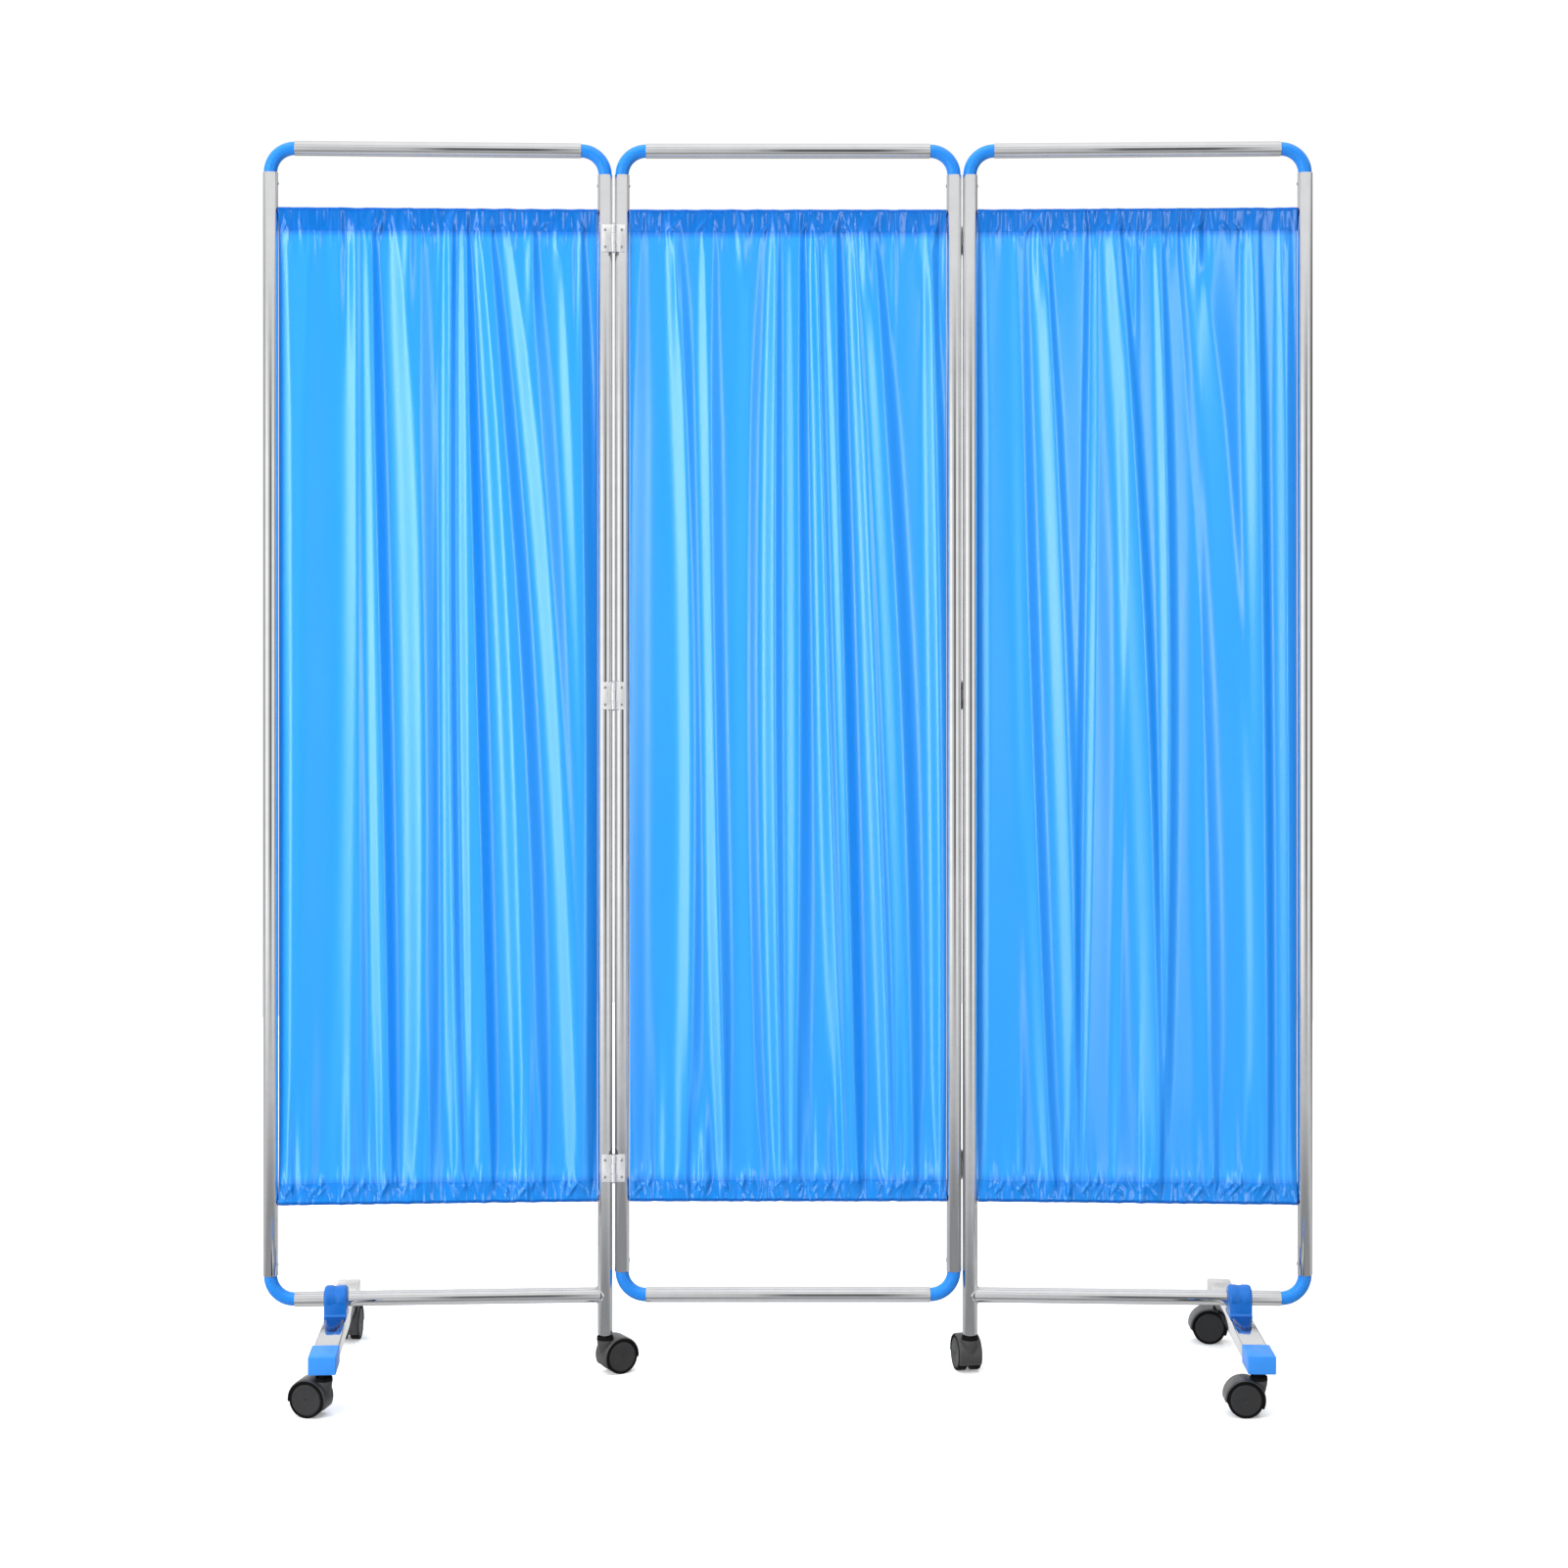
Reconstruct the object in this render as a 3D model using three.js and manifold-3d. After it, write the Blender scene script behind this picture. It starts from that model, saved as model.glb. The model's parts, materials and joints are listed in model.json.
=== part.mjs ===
// A folding ward screen: three tube frames hinged side by side, each with a gathered curtain on two rods.
// The two wings stand on cross feet with castors. Sizes are in millimetres, angles in degrees, +Z is up.
// The origin is on the floor, under the middle frame and midway between the two feet from front to back.
import * as THREE from "three";
import { mergeVertices } from "three/addons/utils/BufferGeometryUtils.js";
import Module from "manifold-3d";

const wasm = await Module();
wasm.setup();

const QUARTER = Math.PI / 2;
const TURN = Math.PI * 2;
const SQUARE_DEGREES = 90;

// Clearances that every joint of two pieces shares.
const FIT = {
  gap: 0.3,
  overrun: 2,
};

// The frames, measured between tube axes, and the clear gap between two posts where frames meet.
const FRAME = {
  bottomRailZ: 115,
  topRailZ: 1789,
  postPitch: 486,
  postGap: 2,
};

const TUBE = {
  radius: 11,
  wall: 0.9,
  rimDrop: 0.5,
  rimLength: 1.6,
};

const ELBOW = {
  bendRadius: 35,
  spigotGap: 0.35,
  bendSteps: 4,
  spigotSteps: 2,
};

const HINGE = {
  height: 40,
  leafWidth: 17,
  leafThickness: 1.4,
  sunk: 0.4,
  standOff: 1.8,
  barrelRadius: 2.8,
  pinRadius: 1.35,
  pinGap: 0.25,
  pinProud: 0.6,
  knuckleGap: 0.5,
};
const HINGE_LEVEL_SHARES = [0.112, 0.524, 0.923];
const MIDDLE_KNUCKLE_SHARES = [
  [0, 0.32],
  [0.68, 1],
];
const WING_KNUCKLE_SHARES = [[0.32, 0.68]];

const ROD = {
  radius: 3,
  seat: 3,
  topDrop: 90,
  bottomRise: 141,
};

const CURTAIN = {
  thickness: 1.2,
  rodGap: 0.6,
  sideGap: 1.5,
  header: 32,
  hem: 27,
  seamHalfGap: 1.6,
  foldDepth: 6.5,
  gatherLength: 70,
  folds: 16,
};
// How far the folds open at the seam, below the gathers, half way down and above the hem.
const FOLD_OPEN_SHARES = { seam: 0.3, gather: 0.75, middle: 1, lower: 0.85, hem: 0.4 };
// How much neighbouring folds differ in depth and in width.
const FOLD_DEPTH_SHARE = 0.35;
const FOLD_WIDTH_SHARE = 0.22;
// How far that wanders from one fold line to the next, and where it starts on each curtain.
// Both are shares of a turn.
const FOLD_WANDER_SHARES = { depth: 0.27, width: 0.366 };
const FOLD_START_SHARES = { left: 0.334, middle: 0.095, right: 0.7 };

const FOOT = {
  inset: 95,
  barLength: 404,
  barWidth: 35,
  barHeight: 22,
  barWall: 1.5,
  barCorner: 3,
  collarLength: 9.7,
  castorInset: 28,
  plugLength: 14,
};

const CAP = {
  length: 56,
  wall: 1.5,
  corner: 4,
};

const CLAMP = {
  width: 34,
  wall: 8.2,
  baseDepth: 44,
  baseHeight: 6,
  bevel: 3,
  tongueReach: 72,
  tongueHeight: 4.6,
  tongueTip: 8,
};

const CASTOR = {
  wheelRadius: 25,
  wheelWidth: 13.6,
  discRadius: 22,
  discStep: 1.2,
  treadBevel: 1.3,
  axleRadius: 3.5,
  trail: 20,
  webThickness: 6,
  runGap: 0.6,
  hoodWall: 2,
  cupRadius: 12,
  cupFootRadius: 8.4,
  cupRise: 1.4,
  cupDepth: 26,
  stemRadius: 5,
  stemLength: 28,
  collarRadius: 7,
  axleBoss: 8,
};
// How far the hood's two lips reach below the axle, at its far end and behind the stem.
const HOOD_DROP = { far: 4, near: 12 };
// Which way each castor trails from its stem, turned from the frame's own +X, as shares of a full turn.
const CASTOR_YAW_SHARES = {
  left_front: 0.453,
  left_rear: 0.236,
  left_inner: 0.075,
  right_front: 0.5,
  right_rear: 0.5,
  right_inner: 0.286,
};

// How far each wing's outer post stands from flat. The left wing is folded a little, the right one
// is turned a little past flat.
const STANCE = { left: 26, right: -21.7 };

// How many flat sides stand in for a round.
const SIDES = {
  tube: 16,
  elbow: 12,
  rod: 10,
  barrel: 8,
  pin: 8,
  wheel: 18,
  well: 18,
  stem: 10,
  corner: 2,
  arch: 8,
  hood: 10,
  tip: 6,
};

// Values that follow from the sizes above.
const radians = THREE.MathUtils.degToRad;
const boreRadius = TUBE.radius - TUBE.wall;
const panelHalf = FRAME.postPitch / 2;
const junctionPitch = 2 * TUBE.radius + FRAME.postGap;
const frameHeight = FRAME.topRailZ - FRAME.bottomRailZ;
const hingeReach = TUBE.radius - HINGE.sunk + HINGE.leafThickness + HINGE.standOff;
const topRodZ = FRAME.topRailZ - ROD.topDrop;
const bottomRodZ = FRAME.bottomRailZ + ROD.bottomRise;
const treadRadius = CASTOR.wheelRadius / Math.cos(Math.PI / SIDES.wheel);
const wellRadius = (treadRadius + CASTOR.runGap) / Math.cos(Math.PI / SIDES.well);
const hoodRadius = wellRadius + CASTOR.hoodWall;
const wheelInside = CASTOR.webThickness / 2 + CASTOR.runGap;
const hoodHalfWidth = wheelInside + CASTOR.wheelWidth;
const cupTopZ = CASTOR.wheelRadius + hoodRadius + CASTOR.cupRise;
const postEndZ = cupTopZ + FIT.gap;
const capDrop = CAP.wall + FIT.gap;
const barBottomZ = cupTopZ + CASTOR.runGap + FOOT.collarLength + capDrop;
const barTopZ = barBottomZ + FOOT.barHeight;
const castorReach = FOOT.barLength / 2 - FOOT.castorInset;

// Materials, one new one for each mesh.

const polishedSteel = () =>
  new THREE.MeshStandardMaterial({ color: 0xdcdfe2, roughness: 0.16, metalness: 1 });
const zincSteel = () => new THREE.MeshStandardMaterial({ color: 0xb9bcc0, roughness: 0.35, metalness: 1 });
const bluePlastic = () => new THREE.MeshStandardMaterial({ color: 0x1688f5, roughness: 0.32, metalness: 0 });
const blueCloth = () => new THREE.MeshStandardMaterial({ color: 0x3fa6ff, roughness: 0.62, metalness: 0 });
const blackPlastic = () => new THREE.MeshStandardMaterial({ color: 0x1b1b1c, roughness: 0.42, metalness: 0 });
const greyPlastic = () => new THREE.MeshStandardMaterial({ color: 0x3c3c3e, roughness: 0.5, metalness: 0 });

// Shape helpers.

function solidOf(geometry) {
  const bare = geometry.clone();
  bare.deleteAttribute("normal");
  bare.deleteAttribute("uv");
  const welded = mergeVertices(bare);
  return new wasm.Manifold(
    new wasm.Mesh({
      numProp: 3,
      vertProperties: welded.attributes.position.array,
      triVerts: new Uint32Array(welded.index.array),
    }),
  );
}

function geometryOf(solid) {
  const made = solid.getMesh();
  const geometry = new THREE.BufferGeometry();
  geometry.setAttribute("position", new THREE.BufferAttribute(made.vertProperties, made.numProp));
  geometry.setIndex(new THREE.BufferAttribute(made.triVerts, 1));
  geometry.computeVertexNormals();
  return geometry;
}

function join(...geometries) {
  return geometryOf(geometries.map(solidOf).reduce((sum, next) => sum.add(next)));
}

function cut(geometry, ...tools) {
  return geometryOf(tools.map(solidOf).reduce((rest, tool) => rest.subtract(tool), solidOf(geometry)));
}

// A closed profile of [radius, height] points turned round Z.
function turned(points, sides) {
  const profile = points.map(([radius, height]) => new THREE.Vector2(radius, height));
  return new THREE.LatheGeometry(profile, sides).rotateX(QUARTER);
}

// A cylinder on Z, from one height to the other.
function cylinder(radius, fromZ, toZ, sides) {
  const height = toZ - fromZ;
  const made = new THREE.CylinderGeometry(radius, radius, height, sides);
  return made.rotateX(QUARTER).translate(0, 0, fromZ + height / 2);
}

function box([x0, x1], [y0, y1], [z0, z1]) {
  const made = new THREE.BoxGeometry(Math.abs(x1 - x0), Math.abs(y1 - y0), Math.abs(z1 - z0));
  return made.translate((x0 + x1) / 2, (y0 + y1) / 2, (z0 + z1) / 2);
}

function polygon(radius, sides) {
  const corners = [];
  for (let i = 0; i < sides; i += 1) {
    const angle = (TURN * i) / sides;
    corners.push(new THREE.Vector2(radius * Math.cos(angle), radius * Math.sin(angle)));
  }
  return new THREE.Shape(corners);
}

// Points of an arc round a centre, both ends included, with angles in degrees.
function arcPoints(centre, radius, from, to, steps) {
  const points = [];
  for (let i = 0; i <= steps; i += 1) {
    const angle = radians(from + ((to - from) * i) / steps);
    points.push(new THREE.Vector2(centre.x + radius * Math.cos(angle), centre.y + radius * Math.sin(angle)));
  }
  return points;
}

function roundedRectangle(width, height, corner) {
  const x = width / 2 - corner;
  const y = height / 2 - corner;
  const centres = [
    [x, y],
    [-x, y],
    [-x, -y],
    [x, -y],
  ];
  const points = centres.flatMap(([cx, cy], i) => {
    const start = i * SQUARE_DEGREES;
    return arcPoints(new THREE.Vector2(cx, cy), corner, start, start + SQUARE_DEGREES, SIDES.corner);
  });
  return new THREE.Shape(points);
}

// A rounded bar of the given section, lying along Y between two places, with its middle at height z.
function barAlongY(width, height, corner, fromY, toY, z) {
  const shape = roundedRectangle(width, height, corner);
  const made = new THREE.ExtrudeGeometry(shape, { depth: toY - fromY, bevelEnabled: false });
  return made.rotateX(QUARTER).translate(0, toY, z);
}

function named(name, geometry, material) {
  const mesh = new THREE.Mesh(geometry, material);
  mesh.name = name;
  return mesh;
}

// Tubes. Each end of a tube is rolled in a little round the spigot that it holds.

function tube(fromZ, toZ) {
  const rim = TUBE.radius - TUBE.rimDrop;
  return turned(
    [
      [boreRadius, fromZ],
      [rim, fromZ],
      [TUBE.radius, fromZ + TUBE.rimLength],
      [TUBE.radius, toZ - TUBE.rimLength],
      [rim, toZ],
      [boreRadius, toZ],
      [boreRadius, fromZ],
    ],
    SIDES.tube,
  );
}

// A tube whose lower end is closed in round the stem of a castor.
function castorTube(fromZ, toZ) {
  const rim = TUBE.radius - TUBE.rimDrop;
  const socket = CASTOR.stemRadius + FIT.gap;
  const nose = (socket + TUBE.radius) / 2;
  const socketTop = fromZ + CASTOR.stemLength;
  return turned(
    [
      [socket, fromZ],
      [nose, fromZ],
      [TUBE.radius, fromZ + TUBE.radius - nose],
      [TUBE.radius, toZ - TUBE.rimLength],
      [rim, toZ],
      [boreRadius, toZ],
      [boreRadius, socketTop],
      [socket, socketTop],
      [socket, fromZ],
    ],
    SIDES.tube,
  );
}

function alongX(geometry) {
  return geometry.rotateY(QUARTER);
}

// The rod holes of a post, drilled through the wall on the panel's side.
function rodHoles(inward) {
  const end = inward * (TUBE.radius + FIT.overrun);
  return [topRodZ, bottomRodZ].map((z) => {
    const drill = cylinder(ROD.radius + FIT.gap, Math.min(end, 0), Math.max(end, 0), SIDES.barrel);
    return alongX(drill).translate(0, 0, z);
  });
}

// Hinges. A leaf is fixed to its post on one face, and its knuckles stand round the pin at the junction.

const hingeLevels = HINGE_LEVEL_SHARES.map((share) => FRAME.bottomRailZ + share * frameHeight);

function hingeLeaf(toward, face, level, knuckles) {
  const axisX = (toward * junctionPitch) / 2;
  const foot = level - HINGE.height / 2;
  const clear = HINGE.barrelRadius + HINGE.knuckleGap;
  const inner = face * (TUBE.radius - HINGE.sunk);
  const outer = inner + face * HINGE.leafThickness;
  const plate = box(
    [axisX - toward * HINGE.leafWidth, axisX - toward * clear],
    [inner, outer],
    [foot, foot + HINGE.height],
  );
  const rings = knuckles.flatMap(([low, high]) => {
    const from = foot + low * HINGE.height + (low > 0 ? HINGE.knuckleGap / 2 : 0);
    const to = foot + high * HINGE.height - (high < 1 ? HINGE.knuckleGap / 2 : 0);
    const tab = box([axisX - toward * (clear + HINGE.leafThickness), axisX], [inner, outer], [from, to]);
    const standing = cylinder(HINGE.barrelRadius, from, to, SIDES.barrel);
    const barrel = standing.translate(axisX, face * hingeReach, 0);
    return [tab, barrel];
  });
  return [plate, ...rings];
}

function hingeBore(toward, face, level) {
  const half = HINGE.height / 2 + FIT.overrun;
  const bore = cylinder(HINGE.pinRadius + HINGE.pinGap, level - half, level + half, SIDES.pin);
  return bore.translate((toward * junctionPitch) / 2, face * hingeReach, 0);
}

function hingedPost(post, toward, face, knuckles) {
  const leaves = hingeLevels.flatMap((level) => hingeLeaf(toward, face, level, knuckles));
  const bores = hingeLevels.map((level) => hingeBore(toward, face, level));
  return cut(join(post, ...leaves), ...bores);
}

function hingePin(name, side, face, level) {
  const half = HINGE.height / 2 + HINGE.pinProud;
  const pin = named(name, cylinder(HINGE.pinRadius, -half, half, SIDES.pin), zincSteel());
  pin.position.set(side * (panelHalf + junctionPitch / 2), face * hingeReach, level);
  return pin;
}

// Elbows: a straight spigot, a quarter bend and a second spigot, from the post's axis round to the rail's.

class ElbowPath extends THREE.Curve {
  constructor() {
    super();
    this.bend = QUARTER * ELBOW.bendRadius;
    this.spigot = (this.bend * ELBOW.spigotSteps) / ELBOW.bendSteps;
  }

  getPoint(t, target = new THREE.Vector3()) {
    const along = t * (this.bend + 2 * this.spigot) - this.spigot;
    if (along <= 0) return target.set(0, 0, along);
    if (along >= this.bend) return target.set(ELBOW.bendRadius + along - this.bend, 0, ELBOW.bendRadius);
    const angle = along / ELBOW.bendRadius;
    return target.set(ELBOW.bendRadius * (1 - Math.cos(angle)), 0, ELBOW.bendRadius * Math.sin(angle));
  }
}

function elbow(name, postX, up) {
  const section = polygon(boreRadius - ELBOW.spigotGap, SIDES.elbow);
  const steps = ELBOW.bendSteps + 2 * ELBOW.spigotSteps;
  const extrudePath = new ElbowPath();
  const made = new THREE.ExtrudeGeometry(section, { extrudePath, steps, bevelEnabled: false });
  const mesh = named(name, made, bluePlastic());
  const railZ = up > 0 ? FRAME.topRailZ : FRAME.bottomRailZ;
  mesh.position.set(postX, 0, railZ - up * ELBOW.bendRadius);
  mesh.rotation.set(up > 0 ? 0 : Math.PI, 0, postX > 0 ? Math.PI : 0);
  return mesh;
}

// Curtains: one strip of cloth, turned over the top rod and under the bottom rod.

// The strip's stations from the back hem over the top rod, down the front and round the bottom rod.
function curtainStations() {
  const wrap = ROD.radius + CURTAIN.rodGap + CURTAIN.thickness / 2;
  const seam = CURTAIN.seamHalfGap;
  const open = FOLD_OPEN_SHARES;
  const upper = topRodZ - CURTAIN.header - CURTAIN.gatherLength;
  const lower = bottomRodZ + CURTAIN.hem + CURTAIN.gatherLength;
  return [
    { y: seam, z: topRodZ - CURTAIN.header, open: open.seam },
    { y: wrap, z: topRodZ, open: 0 },
    { y: wrap / 2, z: topRodZ + wrap, open: 0 },
    { y: -wrap / 2, z: topRodZ + wrap, open: 0 },
    { y: -wrap, z: topRodZ, open: 0 },
    { y: -seam, z: topRodZ - CURTAIN.header, open: open.seam },
    { y: 0, z: upper, open: open.gather },
    { y: 0, z: (upper + lower) / 2, open: open.middle },
    { y: 0, z: lower, open: open.lower },
    { y: -seam, z: bottomRodZ + CURTAIN.hem, open: open.hem },
    { y: -wrap, z: bottomRodZ, open: 0 },
    { y: -wrap / 2, z: bottomRodZ - wrap, open: 0 },
    { y: wrap / 2, z: bottomRodZ - wrap, open: 0 },
    { y: wrap, z: bottomRodZ, open: 0 },
    { y: seam, z: bottomRodZ + CURTAIN.hem, open: open.hem },
  ];
}

// The direction square to the strip at a station, pointing to the cloth's face.
function stationNormal(stations, i) {
  const before = stations[Math.max(i - 1, 0)];
  const after = stations[Math.min(i + 1, stations.length - 1)];
  return new THREE.Vector2(after.z - before.z, before.y - after.y).normalize();
}

// Where the fold lines stand across the curtain and how deep each one is.
function foldLines(start) {
  const count = CURTAIN.folds * 2;
  const half = panelHalf - TUBE.radius - CURTAIN.sideGap;
  const lines = [];
  for (let i = 0; i <= count; i += 1) {
    const edge = i === 0 || i === count;
    const drift = edge ? 0 : FOLD_WIDTH_SHARE * Math.sin(TURN * (i * FOLD_WANDER_SHARES.width + start));
    const depth = 1 - FOLD_DEPTH_SHARE * (1 + Math.sin(TURN * (i * FOLD_WANDER_SHARES.depth + start)));
    const side = i % 2 === 0 ? 1 : -1;
    lines.push({
      x: half * ((2 * (i + drift)) / count - 1),
      y: edge ? 0 : side * depth * CURTAIN.foldDepth,
    });
  }
  return lines;
}

function curtain(panel) {
  const stations = curtainStations();
  const lines = foldLines(FOLD_START_SHARES[panel]);
  const points = [];
  for (const side of [-1, 1]) {
    stations.forEach((station, i) => {
      const out = stationNormal(stations, i).multiplyScalar((side * CURTAIN.thickness) / 2);
      for (const line of lines) {
        points.push(line.x, station.y + line.y * station.open + out.x, station.z + out.y);
      }
    });
  }
  const columns = lines.length;
  const rows = stations.length;
  const at = (side, row, column) => (side * rows + row) * columns + column;
  const faces = [];
  const quad = (a, b, c, d) => faces.push(a, b, c, a, c, d);
  for (let row = 0; row + 1 < rows; row += 1) {
    for (let column = 0; column + 1 < columns; column += 1) {
      const next = column + 1;
      quad(at(0, row, column), at(0, row, next), at(0, row + 1, next), at(0, row + 1, column));
      quad(at(1, row, column), at(1, row + 1, column), at(1, row + 1, next), at(1, row, next));
    }
    quad(at(0, row, 0), at(0, row + 1, 0), at(1, row + 1, 0), at(1, row, 0));
    const last = columns - 1;
    quad(at(0, row, last), at(1, row, last), at(1, row + 1, last), at(0, row + 1, last));
  }
  for (let column = 0; column + 1 < columns; column += 1) {
    const next = column + 1;
    quad(at(0, 0, column), at(1, 0, column), at(1, 0, next), at(0, 0, next));
    const foot = rows - 1;
    quad(at(0, foot, column), at(0, foot, next), at(1, foot, next), at(1, foot, column));
  }
  const geometry = new THREE.BufferGeometry();
  geometry.setAttribute("position", new THREE.Float32BufferAttribute(points, 3));
  geometry.setIndex(faces);
  geometry.computeVertexNormals();
  return named(panel + "_curtain", geometry, blueCloth());
}

function rod(name, z) {
  const half = panelHalf - boreRadius + ROD.seat;
  const mesh = named(name, alongX(cylinder(ROD.radius, -half, half, SIDES.rod)), zincSteel());
  mesh.position.z = z;
  return mesh;
}

function dressing(panel) {
  const group = new THREE.Group();
  group.add(rod(panel + "_top_rod", topRodZ), rod(panel + "_bottom_rod", bottomRodZ), curtain(panel));
  return group;
}

// Castors: a hood over two wheels on one axle, trailing behind a stem. The stem stands on the
// group's origin.

function hoodOutline() {
  const centre = new THREE.Vector2(CASTOR.trail, CASTOR.wheelRadius);
  const far = THREE.MathUtils.radToDeg(Math.asin(HOOD_DROP.far / hoodRadius));
  const near = THREE.MathUtils.radToDeg(Math.asin(HOOD_DROP.near / hoodRadius));
  const rim = arcPoints(centre, hoodRadius, -far, 2 * SQUARE_DEGREES + near, SIDES.hood);
  const low = centre.y - CASTOR.axleBoss;
  rim.push(new THREE.Vector2(centre.x - CASTOR.axleBoss, low));
  rim.push(new THREE.Vector2(centre.x + CASTOR.axleBoss, low));
  return new THREE.Shape(rim);
}

function onAxle(radius, fromY, toY, sides) {
  const made = cylinder(radius, fromY, toY, sides).rotateX(-QUARTER);
  return made.translate(CASTOR.trail, 0, CASTOR.wheelRadius);
}

// The cup that a tube or a foot stands on, tapering down into the back of the hood.
function castorCup() {
  const foot = cupTopZ - CASTOR.cupDepth;
  return turned(
    [
      [0, foot],
      [CASTOR.cupFootRadius, foot],
      [CASTOR.cupRadius, cupTopZ - CASTOR.cupDepth / 2],
      [CASTOR.cupRadius, cupTopZ],
      [0, cupTopZ],
    ],
    SIDES.well,
  );
}

function castorHousing(name, collarTopZ, stemTopZ) {
  const depth = 2 * hoodHalfWidth;
  const flank = new THREE.ExtrudeGeometry(hoodOutline(), { depth, bevelEnabled: false });
  const hood = flank.rotateX(QUARTER).translate(0, hoodHalfWidth, 0);
  const web = CASTOR.webThickness / 2;
  const past = hoodHalfWidth + FIT.overrun;
  const shell = cut(
    join(hood, castorCup()),
    onAxle(wellRadius, web, past, SIDES.well),
    onAxle(wellRadius, -past, -web, SIDES.well),
    onAxle(CASTOR.axleRadius + FIT.gap, -past, past, SIDES.stem),
  );
  const stem = cylinder(CASTOR.stemRadius, cupTopZ - FIT.overrun, stemTopZ, SIDES.stem);
  if (collarTopZ <= cupTopZ) return named(name, join(shell, stem), blackPlastic());
  const collar = cylinder(CASTOR.collarRadius, cupTopZ - FIT.overrun, collarTopZ, SIDES.stem);
  return named(name, join(shell, collar, stem), blackPlastic());
}

// Two wheels and their axle, turned round the axle. Flat discs stand a step inside the tyres.
function castorWheels(name) {
  const outside = hoodHalfWidth;
  const disc = outside - CASTOR.discStep;
  const side = [
    [0, outside],
    [CASTOR.discRadius, outside],
    [CASTOR.discRadius + CASTOR.discStep, disc],
    [treadRadius - CASTOR.treadBevel, disc],
    [treadRadius, disc - CASTOR.treadBevel],
    [treadRadius, wheelInside],
    [CASTOR.axleRadius, wheelInside],
  ];
  const profile = [...side.map(([radius, y]) => [radius, -y]), ...side.toReversed()];
  const points = profile.map(([radius, y]) => new THREE.Vector2(radius, y));
  const made = new THREE.LatheGeometry(points, SIDES.wheel).rotateY(Math.PI / SIDES.wheel);
  const mesh = named(name, made, greyPlastic());
  mesh.position.set(CASTOR.trail, 0, CASTOR.wheelRadius);
  return mesh;
}

function castor(place, x, y, collarTopZ, stemTopZ) {
  const group = new THREE.Group();
  group.name = place + "_castor";
  group.position.set(x, y, 0);
  group.rotation.z = TURN * CASTOR_YAW_SHARES[place];
  group.add(castorHousing(place + "_castor_housing", collarTopZ, stemTopZ));
  group.add(castorWheels(place + "_castor_wheels"));
  return group;
}

// Feet: a flat tube across each wing's end, with a sleeve cap in front, a plug behind and a clamp
// on the rail.

function stemHole(y, fromZ, toZ) {
  return cylinder(CASTOR.stemRadius + FIT.gap, fromZ, toZ, SIDES.stem).translate(0, y, 0);
}

function footBar(name) {
  const half = FOOT.barLength / 2;
  const middleZ = barBottomZ + FOOT.barHeight / 2;
  const wall = 2 * FOOT.barWall;
  const outer = barAlongY(FOOT.barWidth, FOOT.barHeight, FOOT.barCorner, -half, half, middleZ);
  const past = half + FIT.overrun;
  const corner = FOOT.barCorner - FOOT.barWall;
  const inner = barAlongY(FOOT.barWidth - wall, FOOT.barHeight - wall, corner, -past, past, middleZ);
  const holes = [-castorReach, castorReach].map((y) => stemHole(y, barBottomZ - FIT.overrun, middleZ));
  return named(name, cut(outer, inner, ...holes), polishedSteel());
}

function footCap(name) {
  const half = FOOT.barLength / 2;
  const middleZ = barBottomZ + FOOT.barHeight / 2;
  const slack = 2 * FIT.gap;
  const skin = slack + 2 * CAP.wall;
  const end = -half - FIT.gap - CAP.wall;
  const fullWidth = FOOT.barWidth + skin;
  const fullHeight = FOOT.barHeight + skin;
  const outer = barAlongY(fullWidth, fullHeight, CAP.corner, end, end + CAP.length, middleZ);
  const width = FOOT.barWidth + slack;
  const height = FOOT.barHeight + slack;
  const reach = end + CAP.length + FIT.overrun;
  const inner = barAlongY(width, height, FOOT.barCorner, -half - FIT.gap, reach, middleZ);
  const hole = stemHole(-castorReach, barBottomZ - capDrop - FIT.overrun, middleZ);
  return named(name, cut(outer, inner, hole), bluePlastic());
}

function footPlug(name) {
  const slack = 2 * (FOOT.barWall + FIT.gap);
  const half = FOOT.barLength / 2;
  const middleZ = barBottomZ + FOOT.barHeight / 2;
  const corner = FOOT.barCorner - FOOT.barWall;
  const width = FOOT.barWidth - slack;
  const plug = barAlongY(width, FOOT.barHeight - slack, corner, half - FOOT.plugLength, half, middleZ);
  return named(name, plug, bluePlastic());
}

// A flat tongue with a rounded tip, lying forward on the bar's top face.
function clampTongue(foot) {
  const root = CLAMP.width / 2 - CLAMP.bevel;
  const tip = new THREE.Vector2(0, CLAMP.tongueReach - CLAMP.tongueTip);
  const plan = new THREE.Shape([
    new THREE.Vector2(-root, 0),
    new THREE.Vector2(root, 0),
    new THREE.Vector2(root, CLAMP.baseDepth / 2),
    ...arcPoints(tip, CLAMP.tongueTip, 0, 2 * SQUARE_DEGREES, SIDES.tip),
    new THREE.Vector2(-root, CLAMP.baseDepth / 2),
  ]);
  const made = new THREE.ExtrudeGeometry(plan, { depth: CLAMP.tongueHeight, bevelEnabled: false });
  return made.rotateZ(Math.PI).translate(0, 0, foot);
}

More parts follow.
